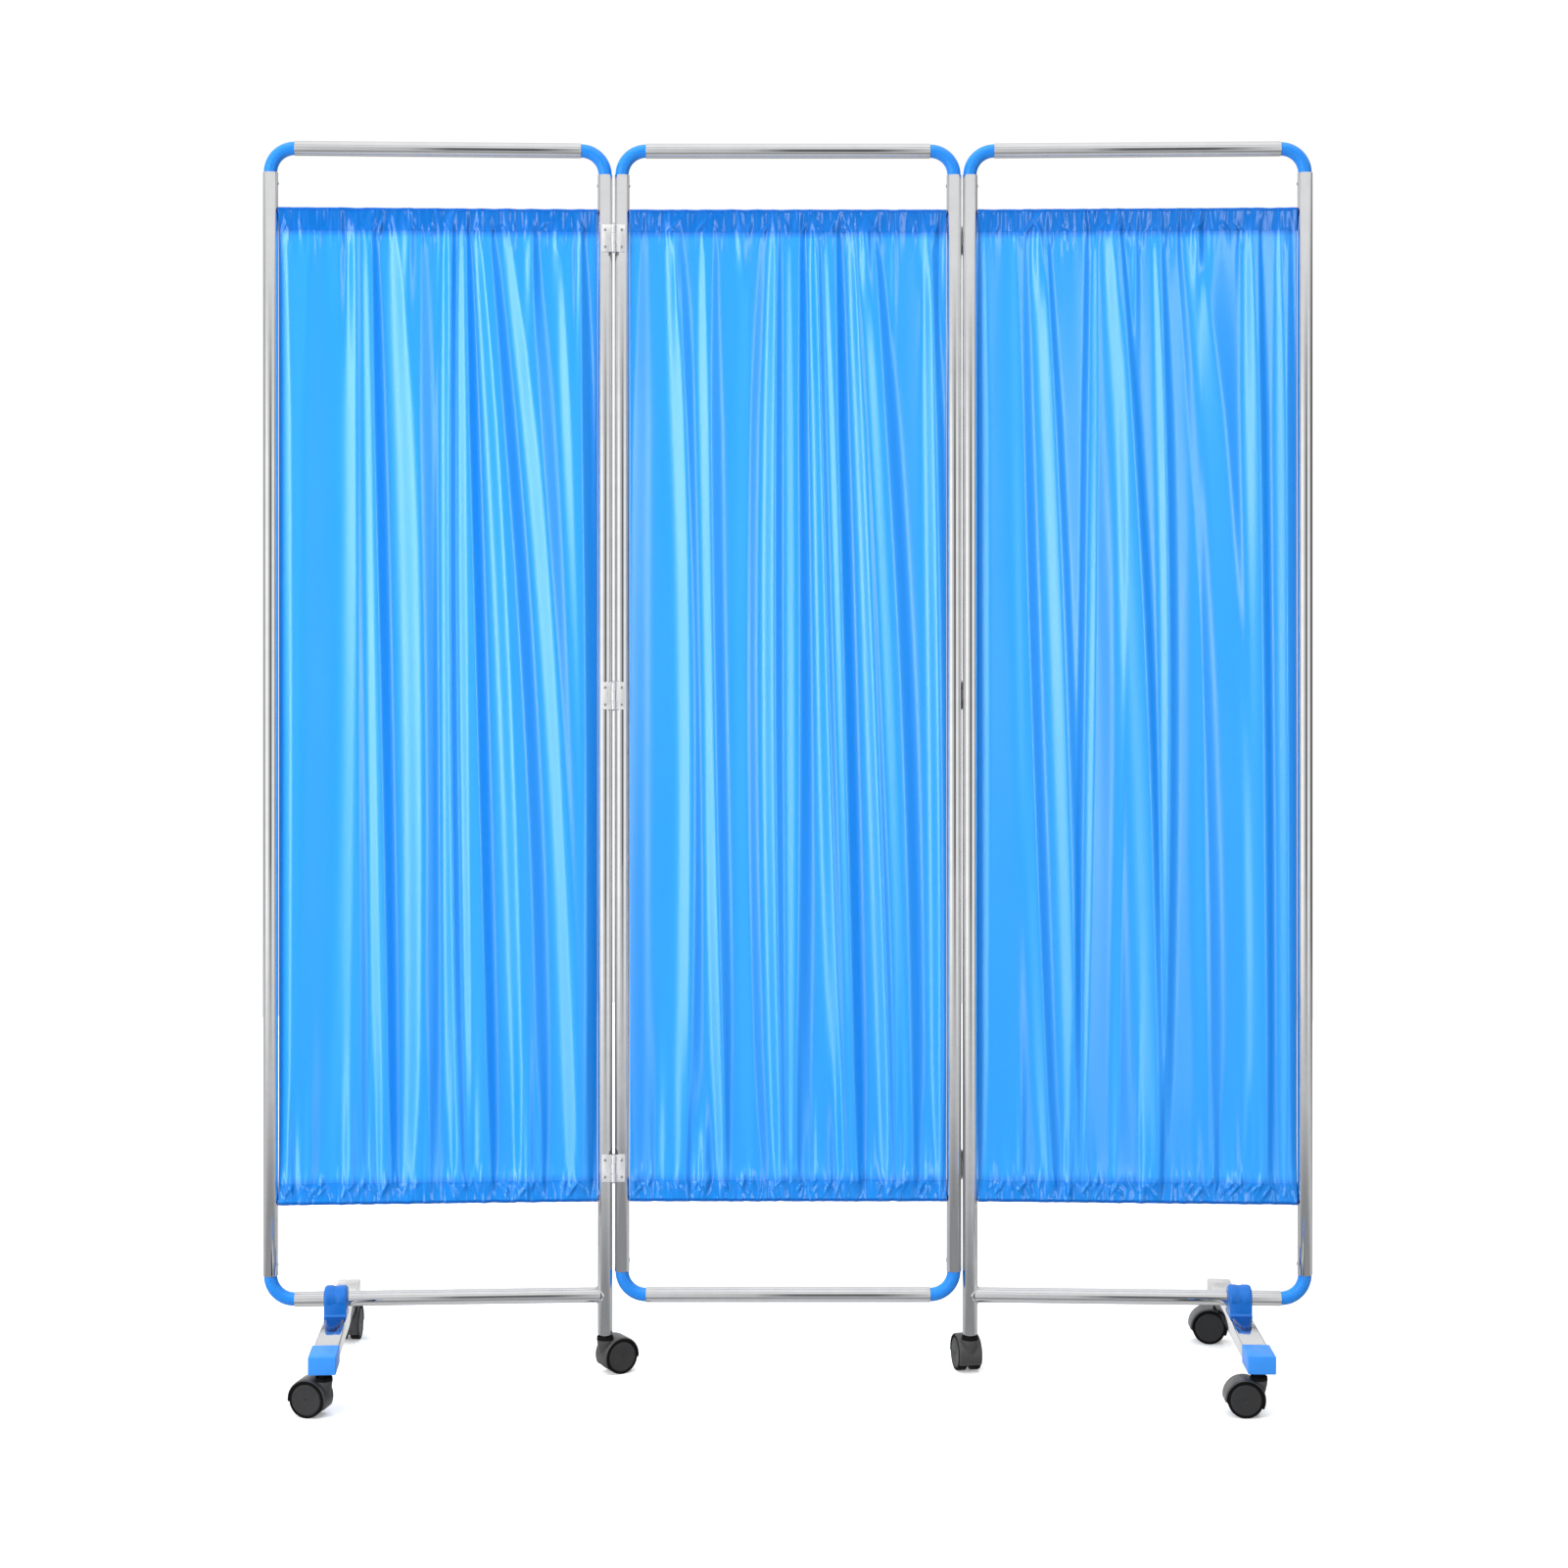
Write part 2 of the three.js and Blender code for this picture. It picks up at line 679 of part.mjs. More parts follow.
// A saddle block on the bar's top face, arched over the rail that runs through it.
function footClamp(name) {
  const arch = TUBE.radius + CLAMP.wall;
  const foot = barTopZ + FIT.gap;
  const base = CLAMP.baseDepth / 2;
  const ledge = foot + CLAMP.baseHeight;
  const rail = new THREE.Vector2(0, FRAME.bottomRailZ);
  const outline = [
    new THREE.Vector2(-base, foot),
    new THREE.Vector2(base, foot),
    new THREE.Vector2(base, ledge),
    new THREE.Vector2(arch, ledge + base - arch),
    ...arcPoints(rail, arch, 0, 2 * SQUARE_DEGREES, SIDES.arch),
    new THREE.Vector2(-arch, ledge + base - arch),
    new THREE.Vector2(-base, ledge),
  ];
  const block = new THREE.ExtrudeGeometry(new THREE.Shape(outline), {
    depth: CLAMP.width - 2 * CLAMP.bevel,
    bevelThickness: CLAMP.bevel,
    bevelSize: CLAMP.bevel,
    bevelOffset: -CLAMP.bevel,
    bevelSegments: 1,
  });
  block.translate(0, 0, CLAMP.bevel - CLAMP.width / 2).rotateX(QUARTER).rotateZ(QUARTER);
  const past = CLAMP.width / 2 + FIT.overrun;
  const radius = (TUBE.radius + FIT.gap) / Math.cos(Math.PI / SIDES.tube);
  const bore = alongX(cylinder(radius, -past, past, SIDES.tube)).translate(0, 0, FRAME.bottomRailZ);
  return named(name, cut(join(block, clampTongue(foot)), bore), bluePlastic());
}

function foot(wing) {
  const group = new THREE.Group();
  group.add(footBar(wing + "_foot_bar"), footCap(wing + "_foot_cap"));
  group.add(footPlug(wing + "_foot_plug"), footClamp(wing + "_foot_clamp"));
  const cappedZ = barBottomZ - capDrop - FIT.gap;
  const bareZ = barBottomZ - FIT.gap;
  const stemTopZ = barBottomZ + FOOT.barHeight / 2;
  group.add(castor(wing + "_front", 0, -castorReach, cappedZ, stemTopZ));
  group.add(castor(wing + "_rear", 0, castorReach, bareZ, stemTopZ));
  return group;
}

// Frames.

const lowerElbowZ = FRAME.bottomRailZ + ELBOW.bendRadius;
const upperElbowZ = FRAME.topRailZ - ELBOW.bendRadius;
const railHalf = panelHalf - ELBOW.bendRadius;

function placedPost(name, x, geometry) {
  const mesh = named(name, geometry, polishedSteel());
  mesh.position.x = x;
  return mesh;
}

function rail(name, z) {
  const mesh = named(name, alongX(tube(-railHalf, railHalf)), polishedSteel());
  mesh.position.z = z;
  return mesh;
}

// A wing's bottom rail runs from its elbow to a saddle cut against the inner post.
function saddledRail(name, outward) {
  const reach = outward > 0 ? [-panelHalf, railHalf] : [-railHalf, panelHalf];
  const half = TUBE.radius + FIT.overrun;
  const clearance = (TUBE.radius + FIT.gap) / Math.cos(Math.PI / SIDES.tube);
  const postShape = cylinder(clearance, -half, half, SIDES.tube);
  const made = cut(alongX(tube(...reach)), postShape.translate(-outward * panelHalf, 0, 0));
  const mesh = named(name, made, polishedSteel());
  mesh.position.z = FRAME.bottomRailZ;
  return mesh;
}

function middlePanel() {
  const panel = new THREE.Group();
  for (const [side, word, face] of [
    [-1, "left", -1],
    [1, "right", 1],
  ]) {
    const plain = cut(tube(lowerElbowZ, upperElbowZ), ...rodHoles(-side));
    const post = hingedPost(plain, side, face, MIDDLE_KNUCKLE_SHARES);
    panel.add(placedPost(`middle_${word}_post`, side * panelHalf, post));
    panel.add(elbow(`middle_${word}_top_elbow`, side * panelHalf, 1));
    panel.add(elbow(`middle_${word}_bottom_elbow`, side * panelHalf, -1));
    ["lower", "centre", "upper"].forEach((level, i) => {
      panel.add(hingePin(`${word}_${level}_hinge_pin`, side, face, hingeLevels[i]));
    });
  }
  panel.add(rail("middle_top_rail", FRAME.topRailZ), rail("middle_bottom_rail", FRAME.bottomRailZ));
  panel.add(dressing("middle"));
  return panel;
}

function wing(word, outward, face) {
  const panel = new THREE.Group();
  const outerX = outward * panelHalf;
  const outerPost = cut(tube(lowerElbowZ, upperElbowZ), ...rodHoles(-outward));
  const innerTube = cut(castorTube(postEndZ, upperElbowZ), ...rodHoles(outward));
  const innerPost = hingedPost(innerTube, -outward, face, WING_KNUCKLE_SHARES);
  panel.add(placedPost(word + "_outer_post", outerX, outerPost));
  panel.add(placedPost(word + "_inner_post", -outerX, innerPost));
  panel.add(rail(word + "_top_rail", FRAME.topRailZ), saddledRail(word + "_bottom_rail", outward));
  panel.add(elbow(word + "_outer_top_elbow", outerX, 1), elbow(word + "_outer_bottom_elbow", outerX, -1));
  panel.add(elbow(word + "_inner_top_elbow", -outerX, 1));
  panel.add(dressing(word));
  const base = foot(word);
  base.position.x = outward * (panelHalf - FOOT.inset);
  panel.add(base);
  const stemTopZ = postEndZ + CASTOR.stemLength - FIT.gap;
  panel.add(castor(word + "_inner", -outerX, 0, cupTopZ, stemTopZ));
  return panel;
}

// How far a wing is turned about its hinge line.
function stanceAngle(word) {
  return Math.asin(STANCE[word] / (FRAME.postPitch + junctionPitch / 2));
}

// A wing hangs on its hinge line, which stands off the frames' plane by the hinges' reach.
function hungWing(word, outward, face) {
  const hinge = new THREE.Group();
  const lineX = panelHalf + junctionPitch / 2;
  hinge.name = word + "_hinge_line";
  hinge.position.set(outward * lineX, face * hingeReach, 0);
  hinge.rotation.z = stanceAngle(word);
  const panel = wing(word, outward, face);
  panel.position.set(outward * lineX, -face * hingeReach, 0);
  hinge.add(panel);
  return hinge;
}

// How far forward of the middle frame's plane a wing's foot stands.
function footForward(word, outward, face) {
  const angle = stanceAngle(word);
  const reach = outward * (junctionPitch / 2 + FRAME.postPitch - FOOT.inset);
  const y = reach * Math.sin(angle) - face * hingeReach * Math.cos(angle) + face * hingeReach;
  return -y;
}

const screen = new THREE.Group();
screen.add(middlePanel());
screen.add(hungWing("left", -1, -1));
screen.add(hungWing("right", 1, 1));
screen.position.y = (footForward("left", -1, -1) + footForward("right", 1, 1)) / 2;

export default screen;
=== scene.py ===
"""Dresses a folding ward screen: polished tubes, moulded elbows, hinges, gathered curtains, feet and castors.

Lengths are in metres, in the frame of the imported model. Angles are in degrees where a name says so.
"""

import json
import logging
import math
import random
from collections.abc import Callable
from dataclasses import dataclass, field
from enum import Enum

import bmesh
import bpy
import numpy as np
from mathutils import Matrix, Vector, noise


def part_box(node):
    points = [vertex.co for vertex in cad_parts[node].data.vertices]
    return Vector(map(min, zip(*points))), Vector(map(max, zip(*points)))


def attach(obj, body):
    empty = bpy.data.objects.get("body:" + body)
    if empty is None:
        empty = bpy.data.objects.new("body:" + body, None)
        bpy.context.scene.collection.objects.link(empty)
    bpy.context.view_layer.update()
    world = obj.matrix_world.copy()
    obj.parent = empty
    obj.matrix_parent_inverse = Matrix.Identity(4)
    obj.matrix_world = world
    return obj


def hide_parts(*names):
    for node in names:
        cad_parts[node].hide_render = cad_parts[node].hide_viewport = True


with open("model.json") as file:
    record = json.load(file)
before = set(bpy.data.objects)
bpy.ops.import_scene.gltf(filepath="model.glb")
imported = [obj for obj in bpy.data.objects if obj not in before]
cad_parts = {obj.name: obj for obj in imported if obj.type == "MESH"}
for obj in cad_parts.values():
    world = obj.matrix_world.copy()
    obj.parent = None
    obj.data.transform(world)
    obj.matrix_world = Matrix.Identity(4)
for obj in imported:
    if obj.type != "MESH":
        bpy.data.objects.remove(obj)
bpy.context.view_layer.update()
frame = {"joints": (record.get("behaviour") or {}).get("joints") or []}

LOG = logging.getLogger("ward_screen")
MM = 0.001
TAU = math.tau

Point = tuple[float, float, float]
Socket = bpy.types.NodeSocket
Profile = list[tuple[float, float]]
Mesh = bmesh.types.BMesh
Edge = bmesh.types.BMEdge
Face = bmesh.types.BMFace
Vert = bmesh.types.BMVert
Material = bpy.types.Material


class Grain(Enum):
    """The direction that a tube was drawn in and that its polishing lines run along."""

    UPRIGHT = (0, 0, 1)
    ACROSS = (1, 0, 0)
    FORE_AND_AFT = (0, 1, 0)


class Side(Enum):
    """Which end of a panel something is on, as the sign of its own X."""

    LEFT = -1
    RIGHT = 1


# Finishes


class Nodes:
    """A node tree, with short calls for the nodes that the finishes and the room share."""

    def __init__(self, tree: bpy.types.NodeTree) -> None:
        """Takes over a tree and empties it."""
        self.tree = tree
        tree.nodes.clear()

    def node(self, kind: str, **inputs: object) -> bpy.types.Node:
        """Adds a node and sets its inputs by name, with underscores for spaces."""
        made = self.tree.nodes.new(kind)
        for key, value in inputs.items():
            made.inputs[key.replace("_", " ")].default_value = value
        return made

    def link(self, source: Socket, target: Socket) -> None:
        """Links two sockets."""
        self.tree.links.new(source, target)

    def maths(self, operation: str, first: Socket, second: Socket | float = 0.0) -> Socket:
        """The result of an operation on one value or two."""
        made = self.tree.nodes.new("ShaderNodeMath")
        made.operation = operation
        self.link(first, made.inputs[0])
        if isinstance(second, float):
            made.inputs[1].default_value = second
        else:
            self.link(second, made.inputs[1])
        return made.outputs["Value"]

    def ranged(self, value: Socket, low: float, high: float, start: float = 0.3, end: float = 0.7) -> Socket:
        """Spreads a range of a value over low to high. Left out, the range is the middle of a noise's."""
        made = self.node("ShaderNodeMapRange", From_Min=start, From_Max=end, To_Min=low, To_Max=high)
        self.link(value, made.inputs["Value"])
        return made.outputs["Result"]

    def either(self, choice: Socket, first: Socket, second: Socket) -> Socket:
        """The first shader, or the second where the choice is one."""
        made = self.tree.nodes.new("ShaderNodeMixShader")
        for source, target in zip((choice, first, second), made.inputs):
            self.link(source, target)
        return made.outputs["Shader"]


class Shader(Nodes):
    """A material's node tree, with a Principled shader and an output."""

    def __init__(self, name: str) -> None:
        """Makes the material."""
        self.material = bpy.data.materials.new(name)
        self.material.use_nodes = True
        super().__init__(self.material.node_tree)
        self.surface = self.node("ShaderNodeBsdfPrincipled")
        self.output = self.node("ShaderNodeOutputMaterial")
        self.link(self.surface.outputs["BSDF"], self.output.inputs["Surface"])

    def set(self, **inputs: object) -> None:
        """Sets the Principled shader's own sockets by name."""
        for key, value in inputs.items():
            self.surface.inputs[key.replace("_", " ")].default_value = value

    def noise(self, scale: Point, detail: float, rough: float = 0.5) -> Socket:
        """A noise on Object coordinates.

        Args:
            scale: How many cells there are to a metre along each axis.
            detail: How many finer layers the noise has.
            rough: How strong the finer layers are.

        Returns:
            The noise's value.
        """
        coordinates = self.node("ShaderNodeTexCoord")
        mapping = self.node("ShaderNodeMapping", Scale=scale)
        self.link(coordinates.outputs["Object"], mapping.inputs["Vector"])
        made = self.node("ShaderNodeTexNoise", Scale=1.0, Detail=detail, Roughness=rough)
        self.link(mapping.outputs["Vector"], made.inputs["Vector"])
        return made.outputs["Fac"]

    def mixed(self, factor: Socket, first: Point, second: Point) -> Socket:
        """A colour between two, by a factor."""
        made = self.tree.nodes.new("ShaderNodeMix")
        made.data_type = "RGBA"
        made.inputs[6].default_value = (*first, 1)
        made.inputs[7].default_value = (*second, 1)
        self.link(factor, made.inputs["Factor"])
        return made.outputs[2]

    def dressed(self, share: Socket, colours: tuple[Point, Point], roughness: tuple[float, float]) -> None:
        """Gives the surface a colour and a roughness between two, by a noise."""
        self.link(self.mixed(share, *colours), self.surface.inputs["Base Color"])
        self.link(self.ranged(share, *roughness), self.surface.inputs["Roughness"])

    def bumped(self, height: Socket, distance: float, strength: float) -> None:
        """Gives the surface a fine relief of a real height."""
        made = self.node("ShaderNodeBump", Strength=strength, Distance=distance)
        self.link(height, made.inputs["Height"])
        self.link(made.outputs["Normal"], self.surface.inputs["Normal"])


@dataclass(frozen=True)
class PolishedSteel:
    """Mirror-polished tube with faint drawing lines along it and a few dull patches."""

    grain: Grain
    bright: Point = (0.86, 0.865, 0.875)
    dull: Point = (0.74, 0.745, 0.755)
    smooth: float = 0.03
    worn: float = 0.10
    lines: float = 1400.0
    run: float = 1.2

    def made(self, name: str) -> Material:
        """Builds the material."""
        shader = Shader(name)
        stretch = tuple(self.run if along else self.lines for along in self.grain.value)
        lines = shader.noise(stretch, 2.0)
        patches = shader.noise((38.0, 38.0, 38.0), 3.0, 0.6)
        shader.set(Metallic=1.0)
        shader.dressed(patches, (self.bright, self.dull), (self.smooth, self.worn))
        shader.bumped(lines, 0.02 * MM, 0.14)
        return shader.material


@dataclass(frozen=True)
class PlatedSteel:
    """Bright zinc on stamped leaves, pins and screws, a little uneven, and partly matt where metal is under one."""

    bright: Point = (0.90, 0.90, 0.90)
    dull: Point = (0.62, 0.62, 0.63)
    metal: float = 1.0
    smooth: float = 0.10
    worn: float = 0.26

    def made(self, name: str) -> Material:
        """Builds the material."""
        shader = Shader(name)
        patches = shader.noise((260.0, 260.0, 260.0), 4.0, 0.6)
        shader.set(Metallic=self.metal)
        shader.dressed(patches, (self.bright, self.dull), (self.smooth, self.worn))
        shader.bumped(patches, 0.05 * MM, 0.2)
        return shader.material


@dataclass(frozen=True)
class MouldedPlastic:
    """Moulded plastic with a fine skin grain and slight clouding of its colour."""

    light: Point
    deep: Point
    smooth: float
    worn: float
    shine: float = 0.5
    glow: float = 0.0
    grain: float = 1500.0
    relief: float = 0.03

    def made(self, name: str) -> Material:
        """Builds the material."""
        shader = Shader(name)
        clouds = shader.noise((70.0, 70.0, 70.0), 3.0, 0.55)
        skin = shader.noise((self.grain, self.grain, self.grain), 2.0)
        shader.set(Specular_IOR_Level=self.shine, Subsurface_Weight=self.glow, Subsurface_Scale=2 * MM)
        shader.dressed(clouds, (self.light, self.deep), (self.smooth, self.worn))
        shader.bumped(skin, self.relief * MM, 0.5)
        return shader.material


@dataclass(frozen=True)
class CurtainCloth:
    """Thin shiny woven cloth, deeper where it lies double at the pockets and the side hems: partly the double cloth's
    own colour, partly painted shade for the light that two layers hold back.
    """

    single: Point = (0.014, 0.372, 0.96)
    # The double colour is partly the cloth's own deeper colour and partly painted shade for the light that two layers
    # hold back.
    double: Point = (0.0005, 0.192, 0.73)
    through: Point = (0.050, 0.460, 1.0)
    through_share: float = 0.22
    double_share: float = 0.42
    smooth: float = 0.28
    worn: float = 0.35
    ior: float = 1.58
    threads: float = 1600.0

    def weave(self, shader: Shader) -> Socket:
        """Crossing threads, from the cloth's own map in metres."""
        cloth_map = shader.node("ShaderNodeUVMap")
        cloth_map.uv_map = Curtain.MAP
        waves = []
        for direction in ("X", "Y"):
            wave = shader.node("ShaderNodeTexWave", Scale=self.threads / TAU, Distortion=0.4, Detail=1.0)
            wave.wave_type = "BANDS"
            wave.bands_direction = direction
            shader.link(cloth_map.outputs["UV"], wave.inputs["Vector"])
            waves.append(wave.outputs["Fac"])
        return shader.maths("MULTIPLY", *waves)

    def made(self, name: str) -> Material:
        """Builds the material, a satin cloth that lets some light through."""
        shader = Shader(name)
        layers = shader.node("ShaderNodeAttribute")
        layers.attribute_name = Curtain.LAYERS
        depth = layers.outputs["Fac"]
        clouds = shader.noise((9.0, 9.0, 4.0), 3.0)
        shader.link(shader.mixed(depth, self.single, self.double), shader.surface.inputs["Base Color"])
        shader.link(shader.ranged(clouds, self.smooth, self.worn), shader.surface.inputs["Roughness"])
        shader.set(IOR=self.ior, Sheen_Weight=0.03, Sheen_Roughness=0.4, Sheen_Tint=(0.75, 0.88, 1.0, 1.0))
        shader.bumped(self.weave(shader), 0.08 * MM, 0.3)
        behind = shader.node("ShaderNodeBsdfTranslucent")
        shader.link(shader.mixed(depth, self.through, self.double), behind.inputs["Color"])
        share = shader.ranged(depth, self.through_share, self.double_share, 0.0, 1.0)
        cloth = shader.either(share, shader.surface.outputs["BSDF"], behind.outputs["BSDF"])
        shader.link(cloth, shader.output.inputs["Surface"])
        return shader.material


class Finishes:
    """Every material of the screen, made once."""

    def __init__(self) -> None:
        """Builds them all."""
        self.upright = PolishedSteel(Grain.UPRIGHT).made("polished_upright")
        self.across = PolishedSteel(Grain.ACROSS).made("polished_across")
        self.foot = PolishedSteel(Grain.FORE_AND_AFT, smooth=0.04, worn=0.11).made("polished_foot")
        self.plated = PlatedSteel().made("zinc_plate")
        self.stamped = PlatedSteel((0.95, 0.95, 0.95), (0.66, 0.66, 0.67), 0.45).made("stamped_zinc")
        blue = {
            "blue_elbow": MouldedPlastic((0.012, 0.235, 0.76), (0.007, 0.200, 0.70), 0.22, 0.34, glow=0.04),
            "blue_cap": MouldedPlastic((0.036, 0.275, 0.82), (0.024, 0.240, 0.76), 0.30, 0.42, glow=0.05),
            "blue_clamp": MouldedPlastic((0.004, 0.140, 0.52), (0.002, 0.115, 0.46), 0.14, 0.26, glow=0.03),
            # The tongue's deeper blue is painted shade, for the dark under the clamp that its top reflects.
            "deep_blue_clamp": MouldedPlastic((0.003, 0.052, 0.25), (0.002, 0.040, 0.20), 0.12, 0.22),
            "sewing_thread": MouldedPlastic((0.010, 0.200, 0.80), (0.006, 0.160, 0.70), 0.45, 0.60),
        }
        self.elbow, self.cap, self.clamp, self.tongue, self.thread = (look.made(name) for name, look in blue.items())
        self.hood = MouldedPlastic((0.056,) * 3, (0.038,) * 3, 0.26, 0.42, 0.6).made("black_hood")
        self.disc = MouldedPlastic((0.034, 0.034, 0.035), (0.025, 0.025, 0.026), 0.34, 0.50, 0.3).made("grey_disc")
        # The black tread finish also goes on the hoods' ends, insides, neck tops and collars, where it is painted
        # shade.
        self.tread = MouldedPlastic((0.006,) * 3, (0.004,) * 3, 0.60, 0.80, 0.12).made("black_tread")
        self.cloth = CurtainCloth().made("curtain_cloth")
        self.pocket = CurtainCloth(ior=1.47, smooth=0.15, worn=0.23).made("pocket_cloth")


# Shapes


def turned(profile: Profile, steps: int, closed: bool = False, angle: float = TAU) -> Mesh:
    """Turns a profile round Z.

    Args:
        profile: Points of radius and height.
        steps: How many steps the turn has.
        closed: Whether the last point joins the first.
        angle: How far it goes, from the XZ plane towards Y.

    Returns:
        The turned mesh.
    """
    bm = bmesh.new()
    rim = [bm.verts.new((radius, 0, height)) for radius, height in profile]
    pairs = list(zip(rim, rim[1:])) + ([(rim[-1], rim[0])] if closed else [])
    edges = [bm.edges.new(pair) for pair in pairs]
    full = abs(angle - TAU) < 1e-6
    if not full and closed:
        bm.faces.new(rim)
    bmesh.ops.spin(
        bm, geom=rim + edges + list(bm.faces), cent=(0, 0, 0), axis=(0, 0, 1), angle=angle, steps=steps, use_merge=full
    )
    tidy(bm)
    return bm


def tidy(bm: Mesh) -> None:
    """Merges doubled points, drops faces without area and turns every face outwards."""
    bmesh.ops.remove_doubles(bm, verts=bm.verts, dist=1e-6)
    bmesh.ops.dissolve_degenerate(bm, dist=1e-7, edges=bm.edges)
    bmesh.ops.recalc_face_normals(bm, faces=bm.faces)


def arc(centre: tuple[float, float], radius: float, start: float, end: float, steps: int) -> Profile:
    """Points of an arc from one angle to another, in degrees, both ends included."""
    angles = [math.radians(start + (end - start) * i / steps) for i in range(steps + 1)]
    return [(centre[0] + radius * math.cos(angle), centre[1] + radius * math.sin(angle)) for angle in angles]


def mirrored(profile: Profile) -> Profile:
    """The same points on the other side of zero height, in the other order."""
    return [(x, -z) for x, z in reversed(profile)]


def cylinder(radius: float, low: float, high: float, steps: int = 24) -> Mesh:
    """A plain round bar along Z."""
    return turned([(0, low), (radius, low), (radius, high), (0, high)], steps=steps)


def rounded_rectangle(width: float, height: float, corner: float, steps: int) -> Profile:
    """The outline of a rectangle with round corners, about its middle."""
    x, y = width / 2 - corner, height / 2 - corner
    centres = ((x, y), (-x, y), (-x, -y), (x, -y))
    return [point for i, centre in enumerate(centres) for point in arc(centre, corner, 90 * i, 90 * i + 90, steps)]


def only(items: list, kind: type) -> list:
    """The items of one kind."""
    return [item for item in items if isinstance(item, kind)]


def thickened(bm: Mesh, faces: list[Face], depth: float) -> Mesh:
    """Extrudes flat faces up by a depth and returns the mesh."""
    grown = bmesh.ops.extrude_face_region(bm, geom=faces)["geom"]
    bmesh.ops.translate(bm, verts=only(grown, Vert), vec=(0, 0, depth))
    tidy(bm)
    return bm


def extruded(outline: Profile, depth: float) -> Mesh:
    """Extrudes an outline in X and Y from Z = 0 up to a depth."""
    bm = bmesh.new()
    return thickened(bm, [bm.faces.new([bm.verts.new((x, y, 0)) for x, y in outline])], depth)


def walled(outer: Profile, inner: Profile, depth: float) -> Mesh:
    """Extrudes the ring between two outlines from Z = 0 up to a depth."""
    bm = bmesh.new()
    edges = []
    for outline in (outer, inner):
        loop = [bm.verts.new((x, y, 0)) for x, y in outline]
        edges += [bm.edges.new((a, b)) for a, b in zip(loop, loop[1:] + loop[:1])]
    return thickened(bm, bmesh.ops.bridge_loops(bm, edges=edges)["faces"], depth)


def block(size: Point, centre: Point, edge: float, segments: int) -> Mesh:
    """A box with its edges rounded."""
    bm = bmesh.new()
    bmesh.ops.create_cube(bm, size=1.0, matrix=Matrix.LocRotScale(Vector(centre), None, Vector(size)))
    rounded(bm, list(bm.edges), edge, segments)
    return bm


def rounded(bm: Mesh, edges: list[Edge], offset: float, segments: int) -> None:
    """Rounds edges off."""
    bmesh.ops.bevel(
        bm, geom=edges, offset=offset, offset_type="OFFSET", segments=segments, profile=0.5, affect="EDGES",
        clamp_overlap=True, material=-1,
    )
    tidy(bm)


def sharp_edges(bm: Mesh, degrees: float) -> list[Edge]:
    """The edges where two faces meet at more than an angle."""
    least = math.radians(degrees)
    return [edge for edge in bm.edges if len(edge.link_faces) == 2 and edge.calc_face_angle(0.0) > least]


def moved(bm: Mesh, matrix: Matrix) -> Mesh:
    """Moves a whole mesh and returns it."""
    bmesh.ops.transform(bm, matrix=matrix, verts=bm.verts)
    if matrix.determinant() < 0:
        bmesh.ops.reverse_faces(bm, faces=bm.faces)
    return bm


def painted(bm: Mesh, chosen: Callable[[Face], bool]) -> Mesh:
    """Gives the chosen faces the piece's second material and returns the mesh."""
    for face in bm.faces:
        face.material_index = int(chosen(face))
    return bm


def gathered(*parts: Mesh) -> Mesh:
    """Puts several meshes into one and frees them."""
    whole = bmesh.new()
    for part in parts:
        spare = bpy.data.meshes.new("spare")
        part.to_mesh(spare)
        part.free()
        whole.from_mesh(spare)
        bpy.data.meshes.remove(spare)
    return whole


def at(x: float, y: float, z: float) -> Matrix:
    """A move without a turn."""
    return Matrix.Translation((x, y, z))


def spun(degrees: float, axis: str) -> Matrix:
    """A turn about an axis through the origin."""
    return Matrix.Rotation(math.radians(degrees), 4, axis)


ALONG_X = spun(90, "Y")
ALONG_Y = spun(-90, "X")
LYING = spun(90, "X")


def in_scene(name: str, data: bpy.types.ID) -> bpy.types.Object:
    """A new object of some data, linked into the scene."""
    made = bpy.data.objects.new(name, data)
    bpy.context.scene.collection.objects.link(made)
    return made


def meshed(name: str, bm: Mesh) -> bpy.types.Object:
    """A new object of a mesh, which is freed."""
    mesh = bpy.data.meshes.new(name)
    bm.to_mesh(mesh)
    bm.free()
    return in_scene(name, mesh)


class Carrier:
    """A CAD body with the place of its own frame, which new pieces are built in and then ride on."""

    def __init__(self, body: str, matrix: Matrix) -> None:
        """Keeps the body's name and its frame's place."""
        self.body = body
        self.matrix = matrix

    def add(
        self, name: str, bm: Mesh, finish: Material, slot: str, replaces: tuple[str, ...] = (),
        crease: float = 38.0,
    ) -> bpy.types.Object:
        """Makes a piece of a mesh that was built in this frame.

        Args:
            name: The piece's name.
            bm: Its mesh, which is freed.
            finish: Its material.
            slot: The record's slot for the piece; it is not used.
            replaces: The CAD nodes that it stands for.
            crease: Edges sharper than this many degrees stay hard.

        Returns:
            The new object, with its place in its mesh.
        """
        piece = meshed(name, moved(bm, self.matrix))
        mesh = piece.data
        mesh.shade_smooth()
        mesh.set_sharp_from_angle(angle=math.radians(crease))
        mesh.materials.append(finish)
        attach(piece, self.body)
        if replaces:
            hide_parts(*replaces)
        LOG.info("%s: %d faces on %s", name, len(mesh.polygons), self.body)
        return piece


def screw_head(radius: float, rise: float) -> Mesh:
    """A domed screw head with a cross cut into it, standing on Z = 0 and facing +Z."""
    slot, arm, sink, curve = radius * 0.16, radius * 0.62, rise * 0.55, 2.2 * radius
    bm = turned([*arc((0, rise - curve), curve, 90, 62, 4), (radius, 0.0), (radius, -rise)], steps=24)
    cutters = [block((2 * arm, 2 * slot, 2 * sink), (0, 0, rise), slot * 0.3, 1) for _ in range(2)]
    moved(cutters[1], spun(90, "Z"))
    return cut_by(bm, gathered(*cutters))


